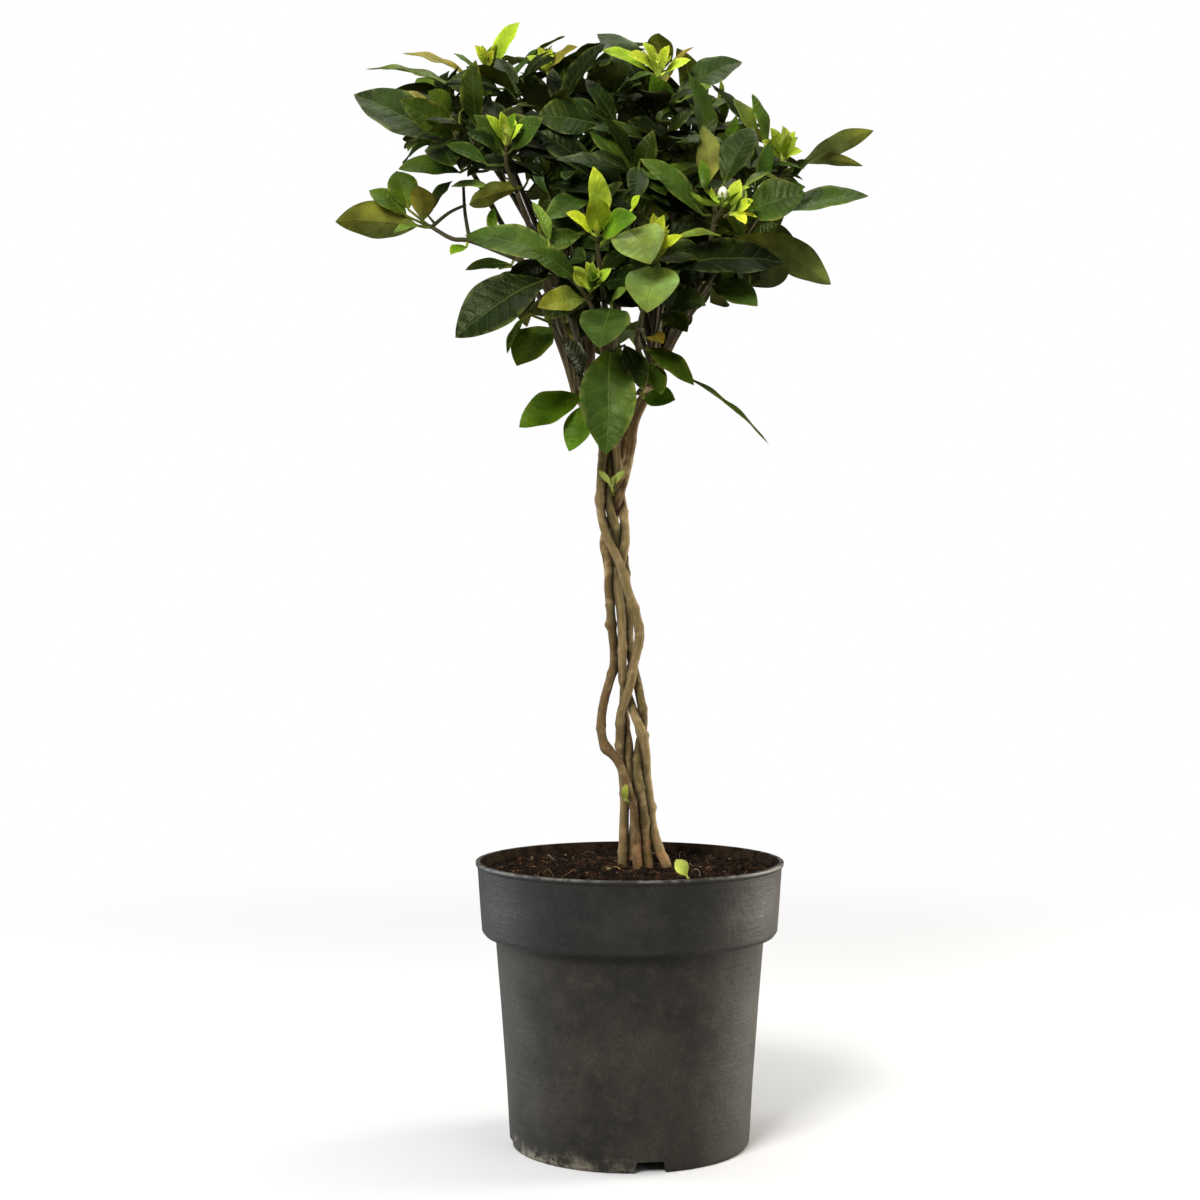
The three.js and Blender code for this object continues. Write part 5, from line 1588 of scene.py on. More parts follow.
        def rise(point: Vector, out: Vector) -> float:
            """The height of the bark at a point, facing outwards."""
            total = 0.0
            for high, across, along, start in BARK_NOISES:
                spot = out * across + Vector((seed, start, point.z * along))
                total += high * noise.noise(spot)
            for scar in scars:
                near = math.exp(-(((point.z - scar - out.x * 0.8) / self.scar_reach) ** 2))
                total += self.scar_rise * near
            for knot in knots:
                facing_it = clamp(out.x * knot.towards[0] + out.y * knot.towards[1])
                near = math.exp(-(((point.z - knot.up) / knot.reach) ** 2))
                total += knot.rise * near * (0.35 + 0.85 * facing_it ** 2)
            return total

        return rise

    def build(self) -> None:
        """Makes the five stems with their limbs."""
        count = round((self.top - self.foot) / self.step)
        heights = [mix(self.foot, self.top, i / count) for i in range(count + 1)]
        levels = [(up, self.level(up)) for up in heights]
        feet: dict[str, list[list[Vector]]] = {name: [] for name in STEMS}
        for stem, axis in grown_axes():
            feet[stem].append(axis)
        curves = [
            curve_through(self.line(index, levels, EYE.seen(stem.crotch)), 6)
            for index, stem in enumerate(STEMS.values())
        ]
        for index, (name, stem) in enumerate(STEMS.items()):
            skin = Skin(f"{name}_bark")
            crotch = EYE.seen(stem.crotch)
            curve = curves[index]
            radii = [
                mix(self.base_radius, self.radius, clamp((point.z - self.foot) / self.flare))
                for point in curve
            ]
            seed = self.seed + index
            rise = self.swell(seed, KNOTS[name])
            skin.tube(curve, radii, self.facets, 0, self.tint(seed), rise)
            for number, axis in enumerate(feet[name]):
                onward = (axis[1] - axis[0]).normalized()
                self.limb(skin, crotch, axis[0] - onward * self.gap, onward, seed * 7 + number)
            self.shade(skin, [other for other in curves if other is not curve])
            skin.finish(name, "bark", self.materials)


@dataclass
class Pot(Assembly):
    """Round nursery pot with a rim band, a recessed underside and drain notches. Millimetres."""

    height: float = 174
    lip_radius: float = 95.3
    lip_height: float = 3
    band_top: float = 94.1
    band_foot: float = 91.3
    band_height: float = 42
    neck_radius: float = 83
    waist_radius: float = 79.7
    waist_height: float = 87
    foot_radius: float = 74
    wall: float = 2
    floor: float = 9
    pad_radius: float = 35
    ring_radius: float = 66
    recess: float = 7
    hole_radius: float = 5
    hole_ring: float = 52
    holes: int = 6
    notches: int = 4
    notch_turn: float = 8.6
    notch_foot: float = 20
    notch_top: float = 16
    notch_height: float = 7
    round_off: float = 0.5
    sharp: float = 28
    steps: int = 144

    def profile(self) -> list[Flat]:
        """The pot's section, radius and height, from the underside's middle round to the inside."""
        foot = self.height - self.lip_height - self.band_height
        return [
            (0, 0), (self.pad_radius, 0), (self.pad_radius + 1, self.recess),
            (self.ring_radius, self.recess), (self.ring_radius + 1, 0), (self.foot_radius - 1.5, 0),
            (self.foot_radius, 2), (76.2, 40), (self.waist_radius, self.waist_height),
            (self.neck_radius, foot - 1), (self.band_foot - 2, foot), (self.band_foot, foot + 2.5),
            (mix(self.band_foot, self.band_top, 0.5), foot + 21),
            (self.band_top, self.height - self.lip_height),
            (self.lip_radius, self.height - self.lip_height + 0.8), (self.lip_radius, self.height),
            (self.band_top - self.wall, self.height), (self.band_foot - self.wall, foot + 4),
            (self.neck_radius - self.wall, foot - 3),
            (self.foot_radius - self.wall + 0.6, self.floor), (0, self.floor),
        ]

    def inside(self, spot: Vector) -> bool:
        """Whether a point in metres lies on the inner wall behind the rim band."""
        share = (spot.z / MM - self.height) / self.band_height + 1
        middle = mix(self.band_foot, self.band_top, share) - self.wall / 2
        return share > 0.2 and spot.xy.length < middle * MM

    def shell(self) -> bmesh.types.BMesh:
        """The pot's wall and floor, turned from its section, with its edges rounded."""
        bm = bmesh.new()
        verts = [bm.verts.new((radius * MM, 0, up * MM)) for radius, up in self.profile()]
        edges = [bm.edges.new(pair) for pair in zip(verts, verts[1:])]
        bmesh.ops.spin(
            bm, geom=verts + edges, cent=(0, 0, 0), axis=(0, 0, 1), angle=2 * math.pi,
            steps=self.steps, use_merge=True,
        )
        bmesh.ops.remove_doubles(bm, verts=bm.verts, dist=1e-6)
        bmesh.ops.recalc_face_normals(bm, faces=bm.faces)
        round_edges = [
            edge for edge in bm.edges
            if len(edge.link_faces) == 2 and edge.calc_face_angle() > math.radians(self.sharp)
            and abs(edge.verts[0].co.z - edge.verts[1].co.z) < 1e-7
        ]
        bmesh.ops.bevel(
            bm, geom=round_edges, offset=self.round_off * MM, offset_type="OFFSET", segments=2,
            profile=0.5, affect="EDGES", material=-1,
        )
        return bm

    def cutters(self) -> bmesh.types.BMesh:
        """The bodies that the drain notches and drain holes are cut with."""
        bm = bmesh.new()
        for i in range(self.notches):
            turn = Matrix.Rotation(math.radians(self.notch_turn) + i * math.pi / 2, 4, "Z")
            reach = self.foot_radius + 8 - self.ring_radius + 4
            tall = self.notch_height + 1
            centre = Vector((0, 3 - self.ring_radius - reach / 2, tall / 2 - 1))
            size = Matrix.Diagonal((self.notch_foot * MM, reach * MM, tall * MM, 1))
            matrix = turn @ Matrix.Translation(centre * MM) @ size
            made = bmesh.ops.create_cube(bm, size=1.0, matrix=matrix)["verts"]
            narrow = self.notch_top / self.notch_foot
            for vert in made:
                if vert.co.z > 0.003:
                    local = turn.inverted() @ vert.co
                    vert.co = turn @ Vector((local.x * narrow, local.y, local.z))
        for i in range(self.holes):
            turn = Matrix.Rotation((i + 0.5) * 2 * math.pi / self.holes, 4, "Z")
            centre = Matrix.Translation((self.hole_ring * MM, 0, (self.recess + 2) * MM))
            bmesh.ops.create_cone(
                bm, cap_ends=True, segments=24, radius1=self.hole_radius * MM,
                radius2=self.hole_radius * MM, depth=8 * MM, matrix=turn @ centre,
            )
        return bm

    def build(self) -> None:
        """Makes the pot, with its notches and holes cut."""
        bodies = []
        for name, bm in (("pot_shell", self.shell()), ("pot_cutters", self.cutters())):
            mesh = bpy.data.meshes.new(name)
            bm.to_mesh(mesh)
            bm.free()
            bodies.append(put(name, mesh))
        cut = bodies[0].modifiers.new("Drain cuts", "BOOLEAN")
        cut.object = bodies[1]
        cut.operation = "DIFFERENCE"
        cut.solver = "EXACT"
        evaluated = bodies[0].evaluated_get(bpy.context.evaluated_depsgraph_get())
        finished = bpy.data.meshes.new_from_object(evaluated)
        skin = Skin("nursery_pot_moulded")
        skin.bm.from_mesh(finished)
        for face in skin.bm.faces:
            face.smooth = True
            face.material_index = int(self.inside(face.calc_center_median()))
        for body in bodies:
            bpy.data.objects.remove(body)
        piece = skin.finish("nursery_pot", "pot_plastic", self.materials)
        piece.data.set_sharp_from_angle(angle=math.radians(35))


@dataclass
class Soil(Assembly):
    """Peat that fills the pot: crumbs, fibres, thin roots and light bits on top. Millimetres."""

    at_wall: float = 167
    mound: float = 3.2
    lump: float = 0.9
    pot: Pot = field(default_factory=Pot)
    crumbs: int = 1100
    fibres: int = 330
    chips: int = 70
    roots: int = 16
    seed: int = 5
    reach: float = 89.5
    rings: int = 62
    facets: int = 220
    crumb_share: float = 0.85
    crumb_sizes: Flat = (0.5, 1.7)
    clod_sizes: Flat = (1.7, 2.8)
    fibre_lengths: Flat = (4, 13)
    fibre_widths: Flat = (0.12, 0.34)
    root_lengths: Flat = (9, 20)
    root_widths: Flat = (0.16, 0.26)
    chip_lengths: Flat = (0.8, 2.4)
    colour: Colour = (27, 19, 11)
    crumb_colours: Palette = ((34, 24, 16), (26, 18, 12), (54, 35, 22), (42, 30, 19))
    fibre_colours: Palette = ((92, 58, 37), (76, 48, 31), (116, 84, 56), (70, 54, 38))
    root_colours: Palette = ((150, 128, 98), (124, 100, 74), (166, 150, 122))
    chip_colours: Palette = ((150, 122, 84), (176, 158, 126), (128, 100, 66), (190, 180, 156))

    def top(self, x: float, y: float) -> float:
        """The height of the soil's solid."""
        mound = self.mound * math.exp(-((x - 4) ** 2 + y * y) / 1400)
        rough = math.sin(x * 0.23 + 1.3) * math.cos(y * 0.19 - 0.4)
        rough += 0.6 * math.sin(x * 0.41 - y * 0.37)
        return self.at_wall + mound + self.lump * rough

    def fine_top(self, x: float, y: float) -> float:
        """The height of the fine surface, with clods and pits."""
        spot = Vector((x, y, 0))
        rise = 1.5 * noise.noise(spot * 0.11) + 0.9 * noise.noise(spot * 0.3 + Vector((9, 0, 0)))
        rise += 0.5 * noise.noise(spot * 0.8)
        return self.top(x, y) + rise - 0.4

    def surface(self, skin: Skin) -> None:
        """Adds the plug: its top, its side against the pot and its foot."""
        pot = self.pot
        band_foot = pot.height - pot.lip_height - pot.band_height
        inset = pot.wall + 0.5
        edge = pot.band_top - inset - 0.6
        side = [
            (edge, None), (pot.band_foot - inset, band_foot + 5.5),
            (pot.neck_radius - inset, band_foot - 2), (pot.foot_radius - inset, pot.floor + 0.3),
            (0, pot.floor + 0.3),
        ]
        rows = self.rings + len(side) - 1

        def place(x: float, y: float) -> Vector:
            """A point on the plug, from the middle of its top to the middle of its foot."""
            row = round(y * rows)
            angle = math.pi * x
            if row > self.rings:
                radius, up = side[row - self.rings]
                return Vector((radius * math.cos(angle), radius * math.sin(angle), up)) * MM
            radius = edge * (row / self.rings)
            across, depth = radius * math.cos(angle), radius * math.sin(angle)
            return Vector((across, depth, self.fine_top(across, depth))) * MM

        verts = [vert for vert, _, _ in wrap(skin.bm, self.facets, rows, place, flip=True)]
        skin.paint(verts, screen(self.colour), 0)
        skin.close(verts, 0)

    def scattered(self, draw: random.Random, least: float = 0) -> Vector:
        """A place on the soil, drawn evenly."""
        radius = math.sqrt(draw.uniform(least ** 2, self.reach ** 2))
        angle = draw.uniform(0, 2 * math.pi)
        x, y = radius * math.cos(angle), radius * math.sin(angle)
        return Vector((x, y, self.fine_top(x, y)))

    def bit(
        self, skin: Skin, spot: Vector, turn: Matrix, size: Spot
    ) -> list[bmesh.types.BMVert]:
        """Adds a small lump, and gives its points.

        Args:
            skin: the mesh.
            spot: its place.
            turn: its turn.
            size: its half size along each of its axes.

        Returns:
            Its points.
        """
        matrix = Matrix.Translation(spot * MM) @ turn @ Matrix.Diagonal((*size, 1))
        return bmesh.ops.create_icosphere(
            skin.bm, subdivisions=1, radius=1, matrix=matrix @ Matrix.Scale(MM, 4)
        )["verts"]

    def crumb(self, skin: Skin, draw: random.Random) -> None:
        """Adds a crumb of peat, sunk in the surface."""
        sizes = self.crumb_sizes if draw.random() < self.crumb_share else self.clod_sizes
        size = draw.uniform(*sizes)
        spot = self.scattered(draw) + UP * size * 0.25
        turn = Matrix.Rotation(draw.uniform(0, FULL_TURN), 4, Vector((draw.random(), 1, draw.random())))
        half = (size, size * draw.uniform(0.6, 1), size * draw.uniform(0.5, 0.9))
        made = self.bit(skin, spot, turn, half)
        shade = draw.uniform(0.6, 1.7)
        tint = [c * shade for c in screen(draw.choice(self.crumb_colours))]
        for vert in made:
            vert.co += Vector([draw.uniform(-0.14, 0.14) * size * MM for _ in range(3)])
        skin.paint(made, tint, 0)

    def fibre(self, skin: Skin, draw: random.Random) -> None:
        """Adds a thin reddish fibre that lies on the surface, its ends in it."""
        spot = self.scattered(draw)
        heading = draw.uniform(0, 2 * math.pi)
        length = draw.uniform(*self.fibre_lengths)
        bend = draw.uniform(-0.9, 0.9)
        points = []
        for k in range(6):
            x, y = spot.x, spot.y
            lift = 0.45 * math.sin(math.pi * k / 5) - 0.1
            points.append(Vector((x, y, self.fine_top(x, y) + lift)))
            heading += bend / 5
            spot = Vector((x + math.cos(heading) * length / 5, y + math.sin(heading) * length / 5, 0))
            if spot.xy.length > 90:
                break
        if len(points) < 3:
            return
        width = draw.uniform(*self.fibre_widths)
        colour = draw.choice(self.fibre_colours)
        skin.tube(points, [width] * len(points), 4, 1, screen(colour))

    def root(self, skin: Skin, draw: random.Random) -> None:
        """Adds a thin pale root that springs out of the peat in an arc."""
        spot = self.scattered(draw, 16)
        length = draw.uniform(*self.root_lengths)
        heading = draw.uniform(0, 2 * math.pi)
        end = spot.xy + Vector((math.cos(heading), math.sin(heading))) * length
        if end.length > 86:
            return
        high = draw.uniform(1, 5)
        side = Vector((-math.sin(heading), math.cos(heading), 0)) * draw.uniform(-3, 3)
        points = []
        for k in range(9):
            share = k / 8
            x, y = spot.xy.lerp(end, share)
            arc = math.sin(math.pi * share)
            points.append(Vector((x, y, self.fine_top(x, y) - 0.3 + high * arc)) + side * arc)
        colour = draw.choice(self.root_colours)
        width = draw.uniform(*self.root_widths)
        skin.tube(points, [width] * len(points), 5, 1, screen(colour))

    def chip(self, skin: Skin, draw: random.Random) -> None:
        """Adds a small light bit of bark or straw."""
        spot = self.scattered(draw, 12) + UP * 0.3
        length = draw.uniform(*self.chip_lengths)
        turn = Matrix.Rotation(draw.uniform(0, FULL_TURN), 4, "Z")
        tilt = Matrix.Rotation(draw.uniform(-0.4, 0.4), 4, "X")
        made = self.bit(skin, spot, turn @ tilt, (length, length * draw.uniform(0.3, 0.6), 0.4))
        skin.paint(made, screen(draw.choice(self.chip_colours)), 1)

    def build(self) -> None:
        """Makes the soil with all that lies in its surface."""
        skin = Skin("potting_soil_peat")
        self.surface(skin)
        draw = random.Random(self.seed)
        for _ in range(self.crumbs):
            self.crumb(skin, draw)
        for _ in range(self.fibres):
            self.fibre(skin, draw)
        for _ in range(self.chips):
            self.chip(skin, draw)
        for _ in range(self.roots):
            self.root(skin, draw)
        skin.finish("potting_soil", "peat", self.materials)


@dataclass
class Bud(Assembly):
    """A round flower bud: creamy petals wound over each other above green calyx lobes."""

    foot: Spot = (58, 581, -101)
    radius: float = 3.3
    height: float = 8.5
    stalk: float = 0.9
    gap: float = 0.3
    shape: Flat = (0.86, 0.62)
    petals: int = 5
    winding: float = 2.2
    fold: float = 0.06
    lobes: int = 6
    lobe_seed: int = 70
    leaves: int = 10
    leaf_seed: int = 500
    leaf_spreads: Flat = (32, 74)
    leaf_lengths: Flat = (9, 19)
    leaf_slimness: Flat = (0.34, 0.5)
    leaf_tones: tuple[Tone, ...] = (Tone.YOUNG, Tone.LIME, Tone.LIME, Tone.BRIGHT)
    cream: Colour = (236, 234, 214)
    green: Colour = (150, 176, 84)

    def build(self) -> None:
        """Makes the bud."""
        skin = Skin("white_bud_petals")
        foot = EYE.seen(self.foot) + UP * (self.stalk + self.gap)

        def place(x: float, y: float) -> Vector:
            """A point on the petals, which turn as they rise."""
            angle = math.pi * x
            rise, swell = self.shape
            half = math.sin(math.pi * y ** rise) ** swell * self.radius * 0.95
            turned = self.petals * (angle - self.winding * y)
            fold = 1 + self.fold * math.cos(turned) * smooth(0.1, 0.5, y)
            out = level_at(angle) * (half * fold)
            return (foot + out + UP * (y * self.height)) * MM

        spots = wrap(skin.bm, 30, 20, place)
        ends = list(zip(screen(self.cream), screen(self.green)))
        for vert, x, y in spots:
            share = 1 - smooth(0.08, 0.42, y)
            tint = [mix(cream, green, share * 0.8) for cream, green in ends]
            vert[skin.tint] = (*tint, 0.0)
            vert[skin.grain] = (x, y, self.height)
        skin.close([vert for vert, _, _ in spots], 0)
        for i in range(self.lobes):
            angle = i * math.pi / 3 + 0.3
            out = level_at(angle)
            along = (UP * 0.8 + out * 0.45).normalized()
            base = foot + out * (self.radius * 0.35) + UP * 0.6
            pose = Pose(foot, base, base + along * 5.2, -out, 1.9, Tone.BRIGHT, -0.12)
            Blade(pose, self.lobe_seed + i, petiole=0.5, thick=0.18, keel=0.1).add(skin, 1, 2)
        self.rosette(skin, foot)
        skin.finish("white_bud", "petal", self.materials)

    def rosette(self, skin: Skin, foot: Vector) -> None:
        """Adds the young leaves that stand round the bud's foot."""
        draw = random.Random(61)
        for i in range(self.leaves):
            angle = GOLDEN_TURN * i + draw.uniform(*TURN_PLAY)
            out = level_at(angle)
            towards_eye = max(0.0, out.dot(TO_EYE))
            spread = math.radians(draw.uniform(*self.leaf_spreads) + 35 * towards_eye)
            along = leaning(UP, out, spread)
            length = draw.uniform(*self.leaf_lengths) - 4 * towards_eye
            base = foot - UP * 1.5 + out * 1.5
            upper = UP * math.sin(spread) - out * math.cos(spread)
            tone = draw.choice(self.leaf_tones)
            width = length * draw.uniform(*self.leaf_slimness)
            pose = Pose(
                foot - UP * 3, base, base + along * length, upper, width, tone,
                draw.uniform(-0.2, 0.2), draw.uniform(-50, 50),
            )
            small_blade(pose, self.leaf_seed + i).add(skin, 1, 2)


@dataclass
class Sprouts(Assembly):
    """Two small green sprouts on the trunk's bark, each a stalk with small leaves."""

    seed: int = 40
    stalk_colour: Colour = (142, 158, 80)

    def grow(self, name: str, stalk: Sequence[Spot], leaves: Sequence[tuple[Spot, Spot, float]]) -> None:
        """Makes one sprout.

        Args:
            name: its node.
            stalk: where the stalk starts and ends.
            leaves: the start, tip and width of each leaf.
        """
        skin = Skin(f"{name}_leafy")
        start, end = EYE.line(stalk)
        path = [start, start.lerp(end, 0.5), end]
        skin.tube(path, [1.0, 0.95, 0.8], 8, 1, screen(self.stalk_colour))
        for index, (foot, tip, width) in enumerate(leaves):
            base, point = EYE.line((foot, tip))
            along = (point - base).normalized()
            pose = Pose(base, base + along * 1.2, point, facing(along, 60), width, Tone.PALE, 0.08)
            small_blade(pose, self.seed + index).add(skin)
        skin.finish(name, "leaf_young", self.materials)

    def build(self) -> None:
        """Makes both sprouts."""
        fork = (-11, 405, -11)
        self.grow("sprout_upper", ((-9.5, 400, -4), fork), (
            (fork, (-19.8, 415.8, -14), 4.4), (fork, (-2.6, 415.8, -15), 4.6),
            (fork, (-9, 412.5, -15.5), 3.0),
        ))
        self.grow("sprout_lower", ((0.8, 207, -5.5), (-2.5, 212, -12)), (
            ((-2.5, 211, -11.5), (-1.8, 221, -14), 4.6), ((-2.5, 210.5, -11.5), (-5, 218, -14), 3.0),
        ))


@dataclass
class Litter(Assembly):
    """A fallen leaf and a dry curl, lying on the soil."""

    soil: Soil
    seed: int = 77
    usual_pose: int = 12

    def lay(
        self, name: str, start: Flat, end: Flat, width: float, arch: float, rise: float, face: float,
        tone: Tone, slot: str,
    ) -> None:
        """Lays a small blade where its solid lies.

        Args:
            name: its node.
            start: the place of its foot.
            end: the place of its tip.
            width: the blade's width.
            arch: how much it is bowed.
            rise: how much higher its tip lies than its foot.
            face: the turn of its upper side towards the eye, in degrees.
            tone: its colour.
            slot: the record's material slot.
        """
        poses = []
        for lift in range(1, 40):
            root, tip = (Vector((*spot, self.soil.top(*spot) + lift * 0.1)) for spot in (start, end))
            tip.z += rise
            base = root.lerp(tip, 0.15)
            along = (tip - base).normalized()
            upper = facing(along, face)
            poses.append(Pose(root, base, tip, upper, width, tone, arch))
        pose = Placement().taken(poses, solid_points(name))
        skin = Skin(f"{name}_blade")
        Blade(pose or poses[self.usual_pose], self.seed, petiole=0.5, thick=0.25).add(skin)
        skin.finish(name, slot, self.materials)

    def build(self) -> None:
        """Lays both pieces."""
        self.lay("fallen_leaf", (34.5, -50), (27, -47), 9, 0.05, 12.5, 70, Tone.FALLEN, "leaf_fallen")
        self.lay("dry_curl", (-14, -14), (-5.5, -16), 4, 0.16, 0, 0, Tone.DRY, "leaf_dry")


# Finishes


class Nodes:
    """A material's node tree, with short calls that add nodes and join them."""

    def __init__(self, name: str) -> None:
        """Starts a material of a name, and finds its shader."""
        self.material = bpy.data.materials.new(name)
        self.material.use_nodes = True
        self.tree = self.material.node_tree
        self.shader = self.tree.nodes["Principled BSDF"]

    def add(self, kind: str, inputs: dict | None = None, **settings: object) -> bpy.types.Node:
        """Adds a node.

        Args:
            kind: its type.
            inputs: a value, or a socket to join, for each named or numbered input.
            settings: its properties.

        Returns:
            The node.
        """
        node = self.tree.nodes.new(kind)
        for key, value in settings.items():
            setattr(node, key, value)
        for key, value in (inputs or {}).items():
            if isinstance(value, Socket):
                self.tree.links.new(value, node.inputs[key])
            else:
                node.inputs[key].default_value = value
        return node

    def math(self, operation: str, *values: object) -> Socket:
        """The result of an operation on sockets or numbers."""
        return self.add("ShaderNodeMath", dict(enumerate(values)), operation=operation).outputs[0]

    def times(self, a: object, b: object) -> Socket:
        """Two values multiplied."""
        return self.math("MULTIPLY", a, b)

    def scaled(self, value: object, factor: float, base: object) -> Socket:
        """A value times a factor, added to a base."""
        return self.math("MULTIPLY_ADD", value, factor, base)

    def attribute(self, name: str) -> bpy.types.Node:
        """An attribute of the piece's own mesh."""
        return self.add("ShaderNodeAttribute", attribute_name=name)

    def spot(self) -> Socket:
        """The place in the object, in metres."""
        return self.add("ShaderNodeTexCoord").outputs["Object"]

    def noise(
        self, place: Socket, scale: float, detail: float = 3, rough: float = 0.55
    ) -> Socket:
        """An even noise from 0 to 1."""
        inputs = {"Vector": place, "Scale": scale, "Detail": detail, "Roughness": rough}
        return self.add("ShaderNodeTexNoise", inputs).outputs["Fac"]

    def stretched(self, place: Socket, size: Spot) -> Socket:
        """A place scaled by an amount along each axis."""
        return self.add("ShaderNodeMapping", {"Vector": place, "Scale": size}).outputs[0]

    def cells(self, place: Socket, scale: float, feature: str = "F1") -> Socket:
        """The distance to the nearest of scattered points, or to the edge between two of them."""
        inputs = {"Vector": place, "Scale": scale}
        return self.add("ShaderNodeTexVoronoi", inputs, feature=feature).outputs[0]

    def band(
        self, value: object, low: float, high: float, start: float = 0, end: float = 1
    ) -> Socket:
        """A value brought evenly from one range to another, and held within it."""
        inputs = {"Value": value, 1: low, 2: high, 3: start, 4: end}
        return self.add("ShaderNodeMapRange", inputs, interpolation_type="SMOOTHSTEP").outputs[0]

    def mix(self, share: object, a: object, b: object, blend: str = "MIX") -> Socket:
        """Two colours mixed."""
        node = self.add("ShaderNodeMix", data_type="RGBA", blend_type=blend)
        for key, value in ((0, share), (6, a), (7, b)):
            if isinstance(value, Socket):
                self.tree.links.new(value, node.inputs[key])
            elif isinstance(value, tuple):
                node.inputs[key].default_value = (*value[:3], 1)
            else:
                node.inputs[key].default_value = value
        return node.outputs[2]

    def grey(self, value: Socket) -> Socket:
        """A number as a grey colour."""
        return self.add("ShaderNodeCombineColor", {0: value, 1: value, 2: value}).outputs[0]

    def shaded(self, colour: Socket, value: Socket) -> Socket:
        """A colour multiplied by a number."""
        return self.mix(1.0, colour, self.grey(value), "MULTIPLY")

    def bump(self, height: Socket, depth: float, strength: float = 1) -> None:
        """Raises the surface by a height from 0 to 1 times a depth in metres."""
        node = self.add("ShaderNodeBump", {"Height": height, "Distance": depth, "Strength": strength})
        self.set("Normal", node.outputs[0])

    def set(self, socket: str, value: object) -> None:
        """Joins or sets one of the shader's own sockets."""
        target = self.shader.inputs[socket]
        if isinstance(value, Socket):
            self.tree.links.new(value, target)
        else:
            target.default_value = value


@dataclass(frozen=True)
class LeafFinish:
    """One side of a leaf: its veins, the quilting between them, and its gloss."""

    name: str
    raised: bool = False
    veins: float = 9
    slant: float = 1.45
    vein_colour: tuple[float, float, float] = (0.2, 0.29, 0.07)
    vein_share: float = 0.18
    rough: float = 0.3
    quilt: float = 0.0007
    specular: float = 0.17
    gloss_colour: tuple[float, float, float, float] = (0.62, 0.74, 0.36, 1)
    dry_tip: Colour = (104, 74, 44)

    def material(self) -> Material:
        """Makes the material."""
        n = Nodes(self.name)
        place = n.spot()
        tint = n.attribute("tint")
        parts = n.add("ShaderNodeSeparateXYZ", {0: n.attribute("grain").outputs["Vector"]})
        across, along = parts.outputs[0], parts.outputs[1]
        wobble = n.scaled(tint.outputs["Alpha"], 7.0, n.times(n.noise(place, 70, 2), 0.5))
        between, margin, midrib, vein = self.pattern(n, across, along, wobble)
        net = n.band(n.cells(place, 620.0, "DISTANCE_TO_EDGE"), 0.0, 0.12)
        cloud = n.noise(place, 52, 5)
        colour = n.shaded(tint.outputs["Color"], n.band(cloud, 0.28, 0.74, 0.55, 1.5))
        warmer = n.mix(1.0, colour, (1.35, 1.12, 0.6), "MULTIPLY")
        colour = n.mix(n.band(n.noise(place, 21, 2), 0.42, 0.66), colour, warmer)
        colour = n.shaded(colour, n.scaled(net, 0.12, 0.92))
        colour = n.shaded(colour, n.scaled(between, 0.06, 0.97))
        pale = n.mix(1.0, tint.outputs["Color"], (2.0, 1.9, 1.5), "MULTIPLY")
        pale = n.mix(0.55, pale, self.vein_colour)
        colour = n.mix(n.times(vein, self.vein_share * 2), colour, pale)
        tip = n.times(n.band(along, 0.955, 1.0), n.band(tint.outputs["Alpha"], 0.72, 0.8))
        n.set("Base Color", n.mix(n.times(tip, 0.7), colour, screen(self.dry_tip)))
        dull = n.noise(place, 160, 3)
        n.set("Roughness", n.band(dull, 0.2, 0.85, self.rough - 0.06, self.rough + 0.16))
        n.set("Specular IOR Level", self.specular)
        n.set("Specular Tint", self.gloss_colour)
        puff = n.times(n.math("POWER", between, 0.35), margin)
        ridge = n.times(midrib, 1.2 if self.raised else -0.9)
        shape = n.scaled(puff, -0.3 if self.raised else 0.4, ridge)
        shape = n.scaled(net, 0.08, shape)
        n.bump(n.scaled(cloud, 3.6, shape), self.quilt, 0.75)
        return n.material

    def pattern(self, n: Nodes, across: Socket, along: Socket, wobble: Socket) -> list[Socket]:
        """The pattern of a blade's veins.

        Args:
            n: the material's nodes.
            across: the place across the blade.
            along: the place along it.
            wobble: how far the side veins stray.

        Returns:
            The place between two side veins, what lies inside the margin, the midrib and the veins.
        """
        away = n.math("ABSOLUTE", across)
        side = n.times(n.math("GREATER_THAN", across, 0.0), 0.42)
        curve = n.times(n.math("POWER", away, 0.85), -self.slant)
        course = n.scaled(along, self.veins, curve)
        course = n.math("ADD", n.math("ADD", course, side), wobble)
        between = n.times(n.math("PINGPONG", course, 0.5), 2.0)
        margin = n.band(away, 0.72, 0.98, 1, 0)
        lateral = n.times(n.band(between, 0.01, 0.09, 1, 0), margin)
        slim = n.scaled(along, -0.03, 0.055)
        midrib = n.band(n.math("DIVIDE", away, slim), 0.45, 1.0, 1, 0)
        vein = n.math("MAXIMUM", n.times(lateral, 0.55), midrib)
        rim = n.band(n.math("DIVIDE", away, n.math("ADD", self.edge(n, along), 0.001)), 0.95, 1.0)
        return [between, margin, midrib, n.math("MAXIMUM", vein, n.times(rim, 0.6))]

    def edge(self, n: Nodes, along: Socket) -> Socket:
        """Where a blade's margin lies, as a share of its half width."""
        bent = n.math("SINE", n.times(n.math("POWER", along, 1.1), math.pi))
        return n.math("POWER", n.math("MAXIMUM", bent, 0.0), 0.85)


